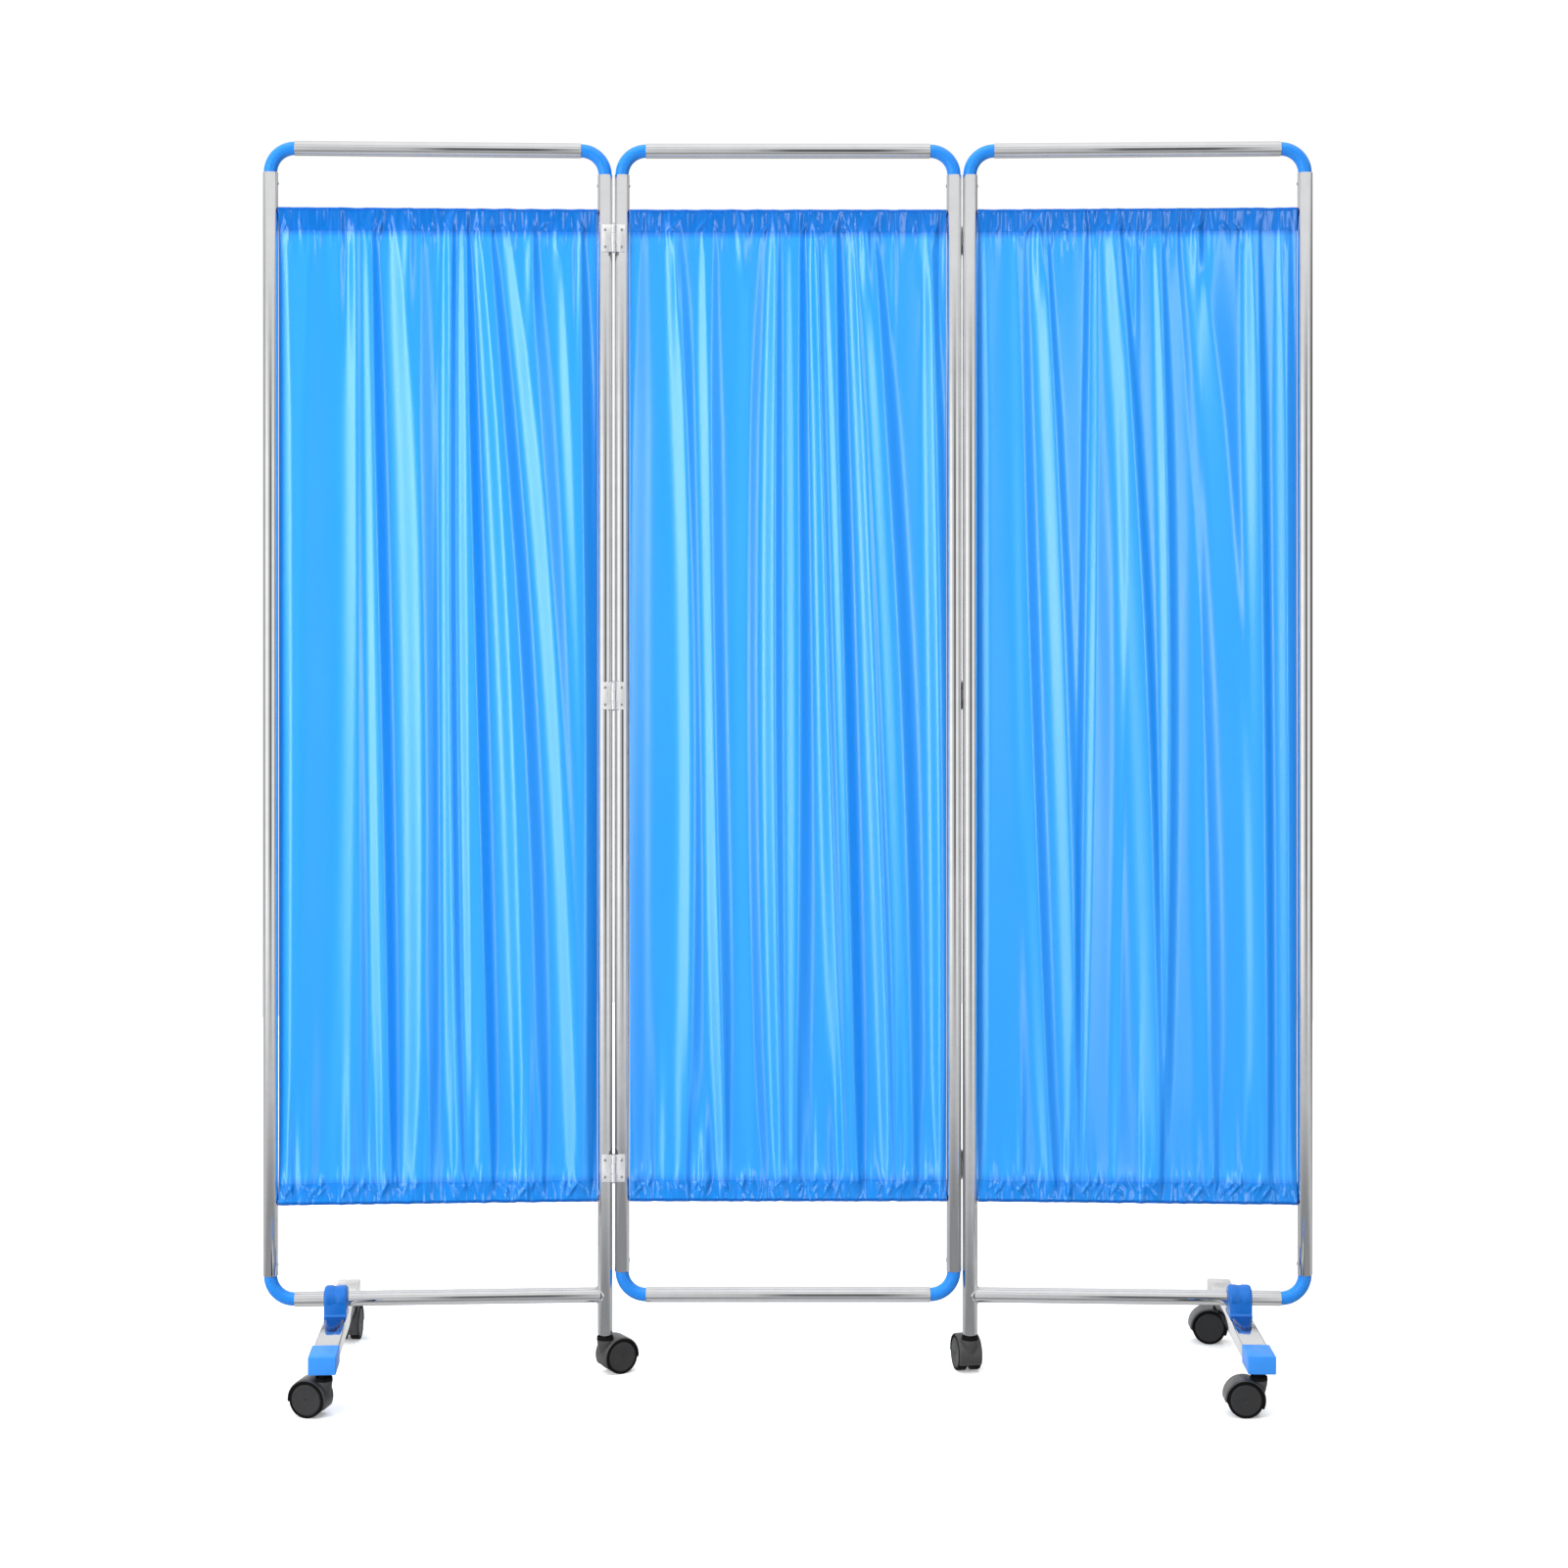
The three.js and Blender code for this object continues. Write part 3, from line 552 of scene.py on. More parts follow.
def cut_by(bm: Mesh, tool: Mesh) -> Mesh:
    """Cuts one closed mesh out of another and frees both."""
    body, cutter = (meshed("cutting", source) for source in (bm, tool))
    modifier = body.modifiers.new("cut", "BOOLEAN")
    modifier.operation, modifier.solver, modifier.use_self = "DIFFERENCE", "EXACT", True
    modifier.object = cutter
    result = bmesh.new()
    result.from_object(body, bpy.context.evaluated_depsgraph_get())
    for item in (body, cutter):
        mesh = item.data
        bpy.data.objects.remove(item)
        bpy.data.meshes.remove(mesh)
    tidy(result)
    return result


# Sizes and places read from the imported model


def middle_of(node: str) -> Vector:
    """The middle of a CAD node's box."""
    low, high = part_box(node)
    return (low + high) / 2


def joint_place(name: str) -> Vector:
    """The point that a joint turns about, at rest."""
    return Vector(next(joint["pos_m"] for joint in frame["joints"] if joint["name"] == name))


@dataclass(frozen=True)
class ScreenSizes:
    """The sizes that the frames share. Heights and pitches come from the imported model."""

    tube: float = 11 * MM
    wall: float = 1 * MM
    bend: float = 35 * MM
    elbow: float = 9.8 * MM
    rod: float = 3 * MM
    junction: float = 24 * MM
    hinge_reach: float = 13.8 * MM
    header: float = 29 * MM
    hem: float = 27 * MM
    seam_gap: float = 1.6 * MM
    cloth: float = 1.2 * MM
    top_rail: float = field(default_factory=lambda: middle_of("middle_top_rail").z)
    bottom_rail: float = field(default_factory=lambda: middle_of("middle_bottom_rail").z)
    top_rod: float = field(default_factory=lambda: middle_of("middle_top_rod").z)
    bottom_rod: float = field(default_factory=lambda: middle_of("middle_bottom_rod").z)
    half: float = field(
        default_factory=lambda: (middle_of("left_outer_post") - middle_of("left_top_rod")).to_2d().length
    )


# Sub-assemblies


class Panel:
    """One tube frame in its own flat frame: X along it, Y to the back and Z up from the floor."""

    RIM = 0.7 * MM
    BEAD = 1.3 * MM
    BEAD_STEPS = 56
    BEAD_SIDES = 8
    BEAD_WAVES = 9
    BEAD_SWELL = 0.18
    SPIGOT = 22 * MM
    SCREW_PLACE = 16 * MM

    def __init__(self, name: str, body: str, yaw: float, sizes: ScreenSizes, finishes: Finishes) -> None:
        """Finds the panel's place from its top rod.

        Args:
            name: The panel's name, which its nodes start with.
            body: The CAD body that carries it.
            yaw: How far it is turned about Z, in radians.
            sizes: The frames' sizes.
            finishes: The screen's materials.
        """
        middle = middle_of(f"{name}_top_rod")
        self.name = name
        self.sizes = sizes
        self.finishes = finishes
        self.carrier = Carrier(body, at(middle.x, middle.y, 0) @ Matrix.Rotation(yaw, 4, "Z"))

    def tube(self, low: float, high: float, foot: Profile | None = None) -> Mesh:
        """An upright tube with rims rolled in, or with another shape at its foot."""
        outer, rim = self.sizes.tube, self.RIM
        end = [(outer, rim), (outer - rim * 0.3, rim * 0.3), (outer - rim, 0), (outer - self.sizes.wall, 0)]
        top = [(radius, high - back) for radius, back in end]
        bottom = foot or [(radius, low + back) for radius, back in reversed(end)]
        return turned([*bottom, *top], 48, closed=True)

    def post(self, side: Side, node: str, foot: Profile | None = None) -> None:
        """A post between its elbows, or down to a castor where a foot is given."""
        sizes = self.sizes
        low = foot[0][1] if foot else sizes.bottom_rail + sizes.bend
        bm = self.tube(low, sizes.top_rail - sizes.bend, foot)
        moved(bm, at(side.value * sizes.half, 0, 0))
        self.carrier.add(f"{node}_tube", bm, self.finishes.upright, "polished_tube", (node,))

    def rail(self, node: str, height: float, saddle: Side | None = None) -> None:
        """A rail between its elbows, or from one elbow to a weld on the post at the saddle's side."""
        sizes = self.sizes
        ends = [-(sizes.half - sizes.bend), sizes.half - sizes.bend]
        if saddle:
            ends[(saddle.value + 1) // 2] = saddle.value * (sizes.half - sizes.tube * 0.6)
        bm = moved(self.tube(*ends), at(0, 0, height) @ ALONG_X)
        self.carrier.add(f"{node}_tube", bm, self.finishes.across, "polished_tube", (node,))
        if saddle:
            self.weld(node, height, saddle)

    def weld(self, node: str, height: float, saddle: Side) -> None:
        """A thin bead where a rail's saddle meets its post."""
        sizes, bm = self.sizes, bmesh.new()
        reach, post, away = sizes.tube + 0.2 * MM, sizes.tube + 0.3 * MM, Vector((-saddle.value, 0, 0))
        rings = []
        for i in range(self.BEAD_STEPS):
            angle = TAU * i / self.BEAD_STEPS
            y, z = reach * math.cos(angle), reach * math.sin(angle)
            x = saddle.value * (sizes.half - math.sqrt(post**2 - min(abs(y), sizes.tube) ** 2))
            swell = self.BEAD * (1 + self.BEAD_SWELL * math.sin(self.BEAD_WAVES * angle))
            radial, centre = Vector((0, math.cos(angle), math.sin(angle))), Vector((x, y, z + height))
            turns = [TAU * j / self.BEAD_SIDES for j in range(self.BEAD_SIDES)]
            places = [centre + swell * (radial * math.cos(turn) + away * math.sin(turn)) for turn in turns]
            ring = [bm.verts.new(place) for place in places]
            rings.append([bm.edges.new(pair) for pair in zip(ring, ring[1:] + ring[:1])])
        for ring, following in zip(rings, rings[1:] + rings[:1]):
            bmesh.ops.bridge_loops(bm, edges=ring + following)
        tidy(bm)
        self.carrier.add(f"{node}_weld", bm, self.finishes.plated, "polished_tube")

    def level(self, up: int) -> float:
        """The height of the top rail, or of the bottom rail where up is -1."""
        return self.sizes.top_rail if up > 0 else self.sizes.bottom_rail

    def elbow(self, node: str, side: Side, up: int) -> None:
        """A moulded quarter bend with a closed spigot into each tube."""
        sizes, bm = self.sizes, bmesh.new()
        bmesh.ops.create_circle(bm, cap_ends=False, segments=32, radius=sizes.elbow)
        start = list(bm.edges)
        bmesh.ops.spin(
            bm, geom=list(bm.verts) + start, cent=(sizes.bend, 0, 0), axis=(0, 1, 0), angle=math.radians(90), steps=20
        )
        end = [edge for edge in bm.edges if edge.is_boundary and edge not in start]
        for rim, way in ((start, (0, 0, -self.SPIGOT)), (end, (self.SPIGOT, 0, 0))):
            grown = bmesh.ops.extrude_edge_only(bm, edges=rim)["geom"]
            bmesh.ops.translate(bm, verts=only(grown, Vert), vec=way)
            bmesh.ops.contextual_create(bm, geom=only(grown, Edge))
        tidy(bm)
        turn = Matrix.Diagonal((-side.value, 1, up, 1))
        moved(bm, at(side.value * sizes.half, 0, self.level(up) - up * sizes.bend) @ turn)
        self.carrier.add(f"{node}_bend", bm, self.finishes.elbow, "blue_joint", (node,))

    def elbow_screw(self, name: str, side: Side, up: int) -> None:
        """The small screw that holds an elbow's spigot, on the panel's side of the post."""
        sizes = self.sizes
        height = self.level(up) - up * (sizes.bend + self.SCREW_PLACE)
        place = at(side.value * (sizes.half - sizes.tube + 0.15 * MM), 0, height)
        bm = moved(screw_head(radius=2.4 * MM, rise=1.1 * MM), place @ spun(-90 * side.value, "Y"))
        self.carrier.add(name, bm, self.finishes.plated, "polished_tube")

    def rods(self) -> None:
        """The two rods that the curtain's pockets hang on."""
        sizes = self.sizes
        reach = sizes.half - sizes.tube + 0.5 * MM
        for level, height in (("top", sizes.top_rod), ("bottom", sizes.bottom_rod)):
            node = f"{self.name}_{level}_rod"
            bm = moved(cylinder(sizes.rod, -reach, reach, 20), at(0, 0, height) @ ALONG_X)
            self.carrier.add(f"{node}_bar", bm, self.finishes.plated, "zinc_pin", (node,))


@dataclass(frozen=True)
class Turn:
    """A strip of cloth that runs down a curtain and faces towards or away from the light.

    The three places are shares of the curtain's width from the left, at its top, middle and bottom. The width is a
    share too. The tilt is how steeply the strip faces, above zero towards the left. The foot is how many times as
    steep it is at the bottom.
    """

    top: float
    middle: float
    bottom: float
    width: float
    tilt: float
    foot: float = 1.0


LEFT_FOLD_SHARES = (
    Turn(0.12, 0.13, 0.09, 0.050, -0.20), Turn(0.23, 0.22, 0.20, 0.020, 0.25),
    Turn(0.25, 0.265, 0.27, 0.012, -0.30, 1.8), Turn(0.275, 0.29, 0.32, 0.014, 0.30),
    Turn(0.30, 0.34, 0.365, 0.016, -0.95, 1.2), Turn(0.36, 0.42, 0.405, 0.034, 0.55),
    Turn(0.455, 0.475, 0.46, 0.022, -0.35), Turn(0.51, 0.50, 0.50, 0.012, -0.30, 0.8),
    Turn(0.53, 0.525, 0.55, 0.015, 0.60), Turn(0.55, 0.55, 0.58, 0.011, -0.75),
    Turn(0.575, 0.58, 0.60, 0.013, 0.42), Turn(0.595, 0.64, 0.675, 0.015, -0.95),
    Turn(0.625, 0.71, 0.75, 0.022, 0.70), Turn(0.67, 0.79, 0.83, 0.018, -0.60, 0.8),
    Turn(0.715, 0.86, 0.92, 0.026, 0.50), Turn(0.80, 0.90, 0.96, 0.022, -0.35),
    Turn(0.88, 0.93, 0.95, 0.015, 0.28), Turn(0.955, 0.985, 0.985, 0.018, -0.80),
    Turn(0.02, 0.02, 0.02, 0.020, 0.40, 1.5),
)
MIDDLE_FOLD_SHARES = (
    Turn(0.045, 0.03, 0.03, 0.025, -0.28, 1.6), Turn(0.125, 0.18, 0.16, 0.024, 0.60),
    Turn(0.165, 0.21, 0.19, 0.016, -0.30, 1.6), Turn(0.23, 0.25, 0.29, 0.018, 0.45, 1.4),
    Turn(0.27, 0.285, 0.32, 0.016, -0.34, 1.8), Turn(0.37, 0.36, 0.38, 0.020, 0.16),
    Turn(0.42, 0.39, 0.43, 0.018, -0.22, 1.5), Turn(0.455, 0.44, 0.47, 0.018, 0.75),
    Turn(0.475, 0.47, 0.49, 0.011, -0.55), Turn(0.505, 0.51, 0.51, 0.013, 0.36),
    Turn(0.545, 0.56, 0.54, 0.018, -0.80, 0.8), Turn(0.58, 0.61, 0.67, 0.018, 0.80, 0.7),
    Turn(0.60, 0.64, 0.69, 0.010, -0.55), Turn(0.62, 0.665, 0.70, 0.012, 0.38),
    Turn(0.66, 0.70, 0.73, 0.017, -0.85, 1.3), Turn(0.70, 0.76, 0.81, 0.020, 0.72),
    Turn(0.715, 0.785, 0.84, 0.011, -0.40), Turn(0.74, 0.82, 0.87, 0.018, 0.42),
    Turn(0.78, 0.88, 0.91, 0.018, -0.62), Turn(0.94, 0.965, 0.975, 0.018, 0.75),
    Turn(0.96, 0.99, 0.99, 0.012, -0.60),
)
RIGHT_FOLD_SHARES = (
    Turn(0.02, 0.02, 0.02, 0.018, 0.40), Turn(0.105, 0.10, 0.09, 0.040, 0.22),
    Turn(0.19, 0.26, 0.30, 0.026, 0.60), Turn(0.222, 0.288, 0.322, 0.010, -0.60),
    Turn(0.115, 0.15, 0.215, 0.018, 0.14, 4.0), Turn(0.15, 0.185, 0.245, 0.012, -0.14, 3.6),
    Turn(0.345, 0.33, 0.305, 0.012, -0.50), Turn(0.372, 0.355, 0.328, 0.013, 0.62),
    Turn(0.41, 0.50, 0.535, 0.032, 0.80, 0.8), Turn(0.452, 0.543, 0.572, 0.010, -0.78),
    Turn(0.47, 0.45, 0.43, 0.013, 0.12, 4.5), Turn(0.555, 0.59, 0.56, 0.012, 0.55),
    Turn(0.58, 0.613, 0.586, 0.011, -0.55), Turn(0.63, 0.73, 0.75, 0.016, -0.34),
    Turn(0.67, 0.79, 0.81, 0.045, 0.62), Turn(0.70, 0.69, 0.72, 0.016, 0.06, 7.0),
    Turn(0.85, 0.872, 0.885, 0.022, 0.80), Turn(0.884, 0.905, 0.915, 0.010, -0.80),
    Turn(0.945, 0.955, 0.96, 0.014, 0.50), Turn(0.98, 0.985, 0.99, 0.012, -0.50),
)


@dataclass(frozen=True)
class Station:
    """One row of a curtain's strip: its place, how far it takes the folds and puckers, and how deep its colour is."""

    y: float
    z: float
    opened: float
    pucker: float
    tint: float


@dataclass(frozen=True)
class Ruffle:
    """A noise over a cloth: its cells to a metre across and down, how far its two walls differ, and its own seed."""

    across: float
    down: float
    apart: float
    salt: float

    def value(self, place: float, height: float, side: float, seed: int) -> float:
        """The noise at a place across, a height and a wall."""
        return noise.noise(Vector((place * self.across, height * self.down + side * self.apart, seed + self.salt)))


@dataclass
class Curtain:
    """One length of cloth, gathered on two rods by a pocket at each end."""

    MAP = "ClothMap"
    LAYERS = "cloth_layers"
    WRAP_STEPS = 7
    # Ranges that small wrinkles are drawn from: gathers as shares of the curtain, tucks in millimetres.
    GATHER_WIDTH = (0.006, 0.013)
    GATHER_LENGTH = (0.03, 0.11)
    TUCK_PLACE = (-15, 8)
    TUCK_WIDTH = (1.3, 2.6)
    TUCK_LENGTH = (5, 12)
    TUCK_HEIGHT = (1.6, 3.6)
    # How narrow the folds are at the top and the bottom seam, and over what share of the height they widen.
    PINCHES = ((0.40, 0.20), (0.55, 0.12))
    LUMPS = Ruffle(95, 12, 9, 0)
    FINE_LUMPS = Ruffle(230, 30, 5, 3)
    WANDER = Ruffle(14, 3.2, 0, 7)
    RIPPLE = Ruffle(55, 0, 3, 5)

    panel: Panel
    folds: tuple[Turn, ...]
    seed: int
    columns: int = 292
    body_rows: int = 86
    pocket_rows: int = 14
    edge_gap: float = 0.4 * MM
    depth: float = 10.5 * MM
    thickness: float = 0.5 * MM
    reach_share: float = 0.30
    lean: float = 1.25
    gathers: int = 26
    tucks: int = 110
    crowding: float = 0.06
    held: float = 0.30
    held_fade: float = 30 * MM
    seam_fade: float = 26 * MM
    puckers: float = 2.4 * MM
    sway: float = 0.8 * MM
    rod_ripple: float = 0.7 * MM
    stitch: float = 3.2 * MM
    thread: float = 0.30 * MM
    # These tints deepen the colour at the pockets and side hems, partly as painted shade for the light that two layers
    # hold back.
    header_tint: float = 0.74
    hem_tint: float = 0.42
    side_hem: float = 7 * MM
    side_tint: float = 0.12
    half_width: float = field(init=False)
    wrap: float = field(init=False)
    first_body_row: int = field(init=False)
    top_seam: float = field(init=False)
    bottom_seam: float = field(init=False)

    def __post_init__(self) -> None:
        """Works out the places that follow from the frame."""
        sizes = self.panel.sizes
        self.half_width = sizes.half - sizes.tube - self.edge_gap
        self.wrap = sizes.rod + 0.6 * MM + sizes.cloth / 2
        self.first_body_row = 2 * self.pocket_rows + self.WRAP_STEPS
        self.top_seam, self.bottom_seam = sizes.top_rod - sizes.header, sizes.bottom_rod + sizes.hem

    def stations(self) -> list[Station]:
        """The strip from its back hem over the top rod, down the front and round the bottom rod."""
        sizes, count = self.panel.sizes, self.pocket_rows
        nearing, leaving = [i / count for i in range(count)], [1 - i / count for i in range(1, count)]
        header = (self.top_seam, sizes.top_rod, self.header_tint)
        hem = (self.bottom_seam, sizes.bottom_rod, self.hem_tint)
        rows = self.wall(1, nearing, *header) + self.rod_wrap(0.0, sizes.top_rod) + self.wall(-1, leaving, *header)
        for i in range(self.body_rows + 1):
            share = i / self.body_rows
            eased = share - math.sin(TAU * share) * self.crowding
            z = self.top_seam + (self.bottom_seam - self.top_seam) * eased
            near = min(z - self.bottom_seam, self.top_seam - z)
            fade, opened = math.exp(-near / self.seam_fade), 1 - self.held * math.exp(-near / self.held_fade)
            tint = {0: self.header_tint, self.body_rows: self.hem_tint}.get(i, 0.0)
            rows.append(Station(-sizes.seam_gap * fade, z, opened, 0.5 * fade, tint))
        rows += self.wall(-1, nearing[1:], *hem) + self.rod_wrap(math.pi, sizes.bottom_rod)
        return rows + self.wall(1, [*leaving, 0.0], *hem)

    def wall(self, side: int, shares: list[float], seam: float, rod: float, tint: float) -> list[Station]:
        """The rows of one wall of a pocket.

        Args:
            side: -1 for the front wall and 1 for the back wall.
            shares: How far each row is on the way from the seam to the rod.
            seam: The seam's height.
            rod: The rod's height.
            tint: How deep the cloth's colour is here.

        Returns:
            The rows.
        """
        gap = self.panel.sizes.seam_gap
        rows = []
        for share in shares:
            y = side * (gap + (self.wrap - gap) * share**2)
            rows.append(Station(y, seam + (rod - seam) * share, 0.70 * (1 - share), 0.5 + 0.5 * share, tint))
        return rows

    def rod_wrap(self, start: float, rod: float) -> list[Station]:
        """The rows of the half turn over or under a rod, from an angle on."""
        angles = [start + math.pi * i / self.WRAP_STEPS for i in range(self.WRAP_STEPS + 1)]
        return [Station(self.wrap * math.cos(a), rod + self.wrap * math.sin(a), 0.0, 1.0, 1.0) for a in angles]

    def short_gathers(self) -> list[tuple[float, float, float, float, bool]]:
        """Small tucks that fan out from a seam and die away: place, width, tilt, length and whether at the hem."""
        rng = random.Random(self.seed)
        made = []
        for i in range(self.gathers):
            lower = i % 3 != 0
            length = rng.uniform(*self.GATHER_LENGTH) * (1.5 if lower else 1.0)
            place, width, tilt = rng.uniform(0.02, 0.98), rng.uniform(*self.GATHER_WIDTH), rng.uniform(-0.8, 0.8)
            made.append((place, width, tilt, length, lower))
        return made

    def tucked(self, x: np.ndarray, z: np.ndarray) -> np.ndarray:
        """The height of short slanted ridges across both seams, for each height and place across."""
        rng = random.Random(self.seed + 40)
        seams = (self.top_seam, self.bottom_seam)
        height = np.zeros((len(z), len(x)))
        for i in range(self.tucks):
            middle = seams[min(i % 3, 1)] + rng.uniform(*self.TUCK_PLACE) * MM
            place, lean = rng.uniform(-0.98, 0.98) * self.half_width, rng.uniform(-0.9, 0.9)
            width, length = rng.uniform(*self.TUCK_WIDTH) * MM, rng.uniform(*self.TUCK_LENGTH) * MM
            down = z[:, None] - middle
            ridge = np.exp(-(((x[None, :] - place - lean * down) / width) ** 2) - (down / length) ** 2)
            height += rng.uniform(*self.TUCK_HEIGHT) * MM * ridge
        return height

    def strip(self, offset: np.ndarray, lit: bool) -> np.ndarray:
        """How strongly a strip tilts at offsets from its middle: crisp at the crease and soft on its other side."""
        crisp, soft = np.exp(-np.abs(offset / 0.95) ** 6), np.exp(-np.abs(offset / 1.35) ** 2.4)
        return np.where((offset > 0) == lit, crisp, soft)

    def relief(self, across: np.ndarray, down: np.ndarray) -> np.ndarray:
        """How far each point of the cloth stands behind its plane. A strip that faces left comes forward to the right.

        Args:
            across: Places across, as shares of the width.
            down: For each row its place down the body, from 0 to 1.

        Returns:
            A depth for each row and column.
        """
        u, t = across[None, :], down[:, None]
        slope = np.zeros((len(down), len(across)))
        pinch = 1 + 0.25 * np.sin(math.pi * t)
        for away, (least, within) in zip((t, 1 - t), self.PINCHES):
            pinch = pinch * (least + (1 - least) * np.minimum(away / within, 1) ** 0.8)
        for turn in self.folds:
            bow = turn.top * (1 - t) * (1 - 2 * t) + turn.middle * 4 * t * (1 - t) + turn.bottom * t * (2 * t - 1)
            strength = self.lean * turn.tilt * (1 + (turn.foot - 1) * t)
            slope += strength * self.strip((u - bow) / (turn.width * pinch), turn.tilt > 0)
        for place, width, tilt, length, lower in self.short_gathers():
            away = (1 - t) if lower else t
            centre, spread = place + (0.5 - place) * 0.05 * away, width * (1 + 3 * away)
            fade = tilt * np.exp(-((away / length) ** 2))
            for sign, middle in ((1, centre), (-1, centre + 2 * width)):
                slope += sign * fade * np.exp(-(((u - middle) / spread) ** 2))
        depth = np.cumsum(slope, axis=1) * 2 * self.half_width / (len(across) - 1)
        reach = max(3, int(self.reach_share * len(across)) | 1)
        kernel = np.hanning(reach + 2)[1:-1]
        kernel /= kernel.sum()
        padded = np.pad(depth, ((0, 0), (reach // 2, reach // 2)), mode="reflect")
        smooth = np.stack([np.convolve(row, kernel, "valid") for row in padded])
        return -self.depth * np.tanh((depth - smooth) / self.depth)

    def surface(self) -> np.ndarray:
        """The cloth's points in the panel's frame, by row and column."""
        sizes, rows = self.panel.sizes, self.stations()
        heights = np.array([row.z for row in rows])
        across = np.linspace(0, 1, self.columns + 1)
        down = np.clip((self.top_seam - heights) / (self.top_seam - self.bottom_seam), 0, 1)
        depth, x = self.relief(across, down), (across * 2 - 1) * self.half_width
        tucks = self.tucked(x, heights)
        points = np.zeros((len(rows), len(across), 3))
        middle = (sizes.top_rod + sizes.bottom_rod) / 2
        for i, row in enumerate(rows):
            side, end = (1.0 if row.y > 0 else -1.0), (1 if row.z > middle else -1)
            on_rod = abs(row.z - (sizes.top_rod if end > 0 else sizes.bottom_rod)) < 1.2 * self.wrap
            for j, place in enumerate(x):
                spot = (place, row.z, side, self.seed)
                lump = self.LUMPS.value(*spot) + 0.5 * self.FINE_LUMPS.value(*spot)
                outward = side * (max(lump + 0.5, 0) * row.pucker * self.puckers + tucks[i, j])
                back = row.opened * (depth[i, j] + self.WANDER.value(*spot) * self.sway)
                lift = end * self.rod_ripple * self.RIPPLE.value(*spot) if on_rod else 0.0
                points[i, j] = (place, row.y + back + outward, row.z + lift)
        return points

    def developed(self, points: np.ndarray) -> tuple[float, float]:
        """The cloth's size when it is laid flat, measured along its folds and down its strip."""
        body = points[self.first_body_row : self.first_body_row + self.body_rows + 1]
        width = np.linalg.norm(np.diff(body, axis=1), axis=2).sum(1).mean()
        return float(width), float(self.lengths(points)[-1])

    def lengths(self, points: np.ndarray) -> np.ndarray:
        """How far down the strip each row lies."""
        steps = np.linalg.norm(np.diff(points.mean(1), axis=0), axis=1)
        return np.concatenate([[0], np.cumsum(steps)])

    def cloth(self, points: np.ndarray) -> Mesh:
        """A grid laid over the points, with its own map in metres and its layers written on it."""
        last_row, last_column = (count - 1 for count in points.shape[:2])
        bm = bmesh.new()
        bmesh.ops.create_grid(bm, x_segments=last_column, y_segments=last_row, size=1.0)
        layers = bm.verts.layers.float.new(self.LAYERS)
        cloth_map = bm.loops.layers.uv.new(self.MAP)
        rows, length, flat_width = self.stations(), self.lengths(points), self.developed(points)[0]
        places = {}
        for vert in bm.verts:
            column, row = round((vert.co.x + 1) / 2 * last_column), round((vert.co.y + 1) / 2 * last_row)
            places[vert] = (column / last_column * flat_width, float(length[row]))
            edge = min(column, last_column - column) * 2 * self.half_width / last_column
            vert[layers] = max(rows[row].tint, self.side_tint if edge < self.side_hem else 0.0)
            vert.co = Vector(points[row, column])
        for face in bm.faces:
            for loop in face.loops:
                loop[cloth_map].uv = places[loop.vert]
        bmesh.ops.recalc_face_normals(bm, faces=bm.faces)
        return painted(bm, lambda face: min(vert[layers] for vert in face.verts) > 0.3)

    def stitches(self, points: np.ndarray, row: int) -> Mesh:
        """A row of sewn stitches on the front of the cloth."""
        line = points[row]
        span = np.concatenate([[0], np.cumsum(np.linalg.norm(np.diff(line, axis=0), axis=1))])
        parts = []
        for i in range(int(span[-1] / self.stitch) - 1):
            ends = [(i + share) * self.stitch + self.stitch * 0.3 for share in (0.14, 0.86)]
            a, b = (Vector([float(np.interp(end, span, line[:, k])) for k in range(3)]) for end in ends)
            bm = bmesh.new()
            bmesh.ops.create_icosphere(bm, subdivisions=1, radius=1.0)
            turn = (b - a).normalized().to_track_quat("X", "Z").to_matrix().to_4x4()
            scale = Matrix.Diagonal(((b - a).length / 2, self.thread, self.thread, 1))
            moved(bm, Matrix.Translation((a + b) / 2 + Vector((0, -0.35 * MM, 0))) @ turn @ scale)
            parts.append(bm)
        return gathered(*parts)

    def build(self) -> None:
        """Makes the cloth and its two lines of stitches."""
        panel, points = self.panel, self.surface()
        node, finishes = f"{panel.name}_curtain", panel.finishes
        piece = panel.carrier.add(f"{node}_cloth", self.cloth(points), finishes.cloth, "curtain_cloth", (node,), 180)
        piece.data.materials.append(finishes.pocket)
        solid = piece.modifiers.new("cloth_thickness", "SOLIDIFY")
        solid.thickness, solid.offset = self.thickness, 0.0
        lines = [self.stitches(points, self.first_body_row + row) for row in (0, self.body_rows)]
        panel.carrier.add(f"{node}_stitches", gathered(*lines), finishes.thread, "curtain_cloth")


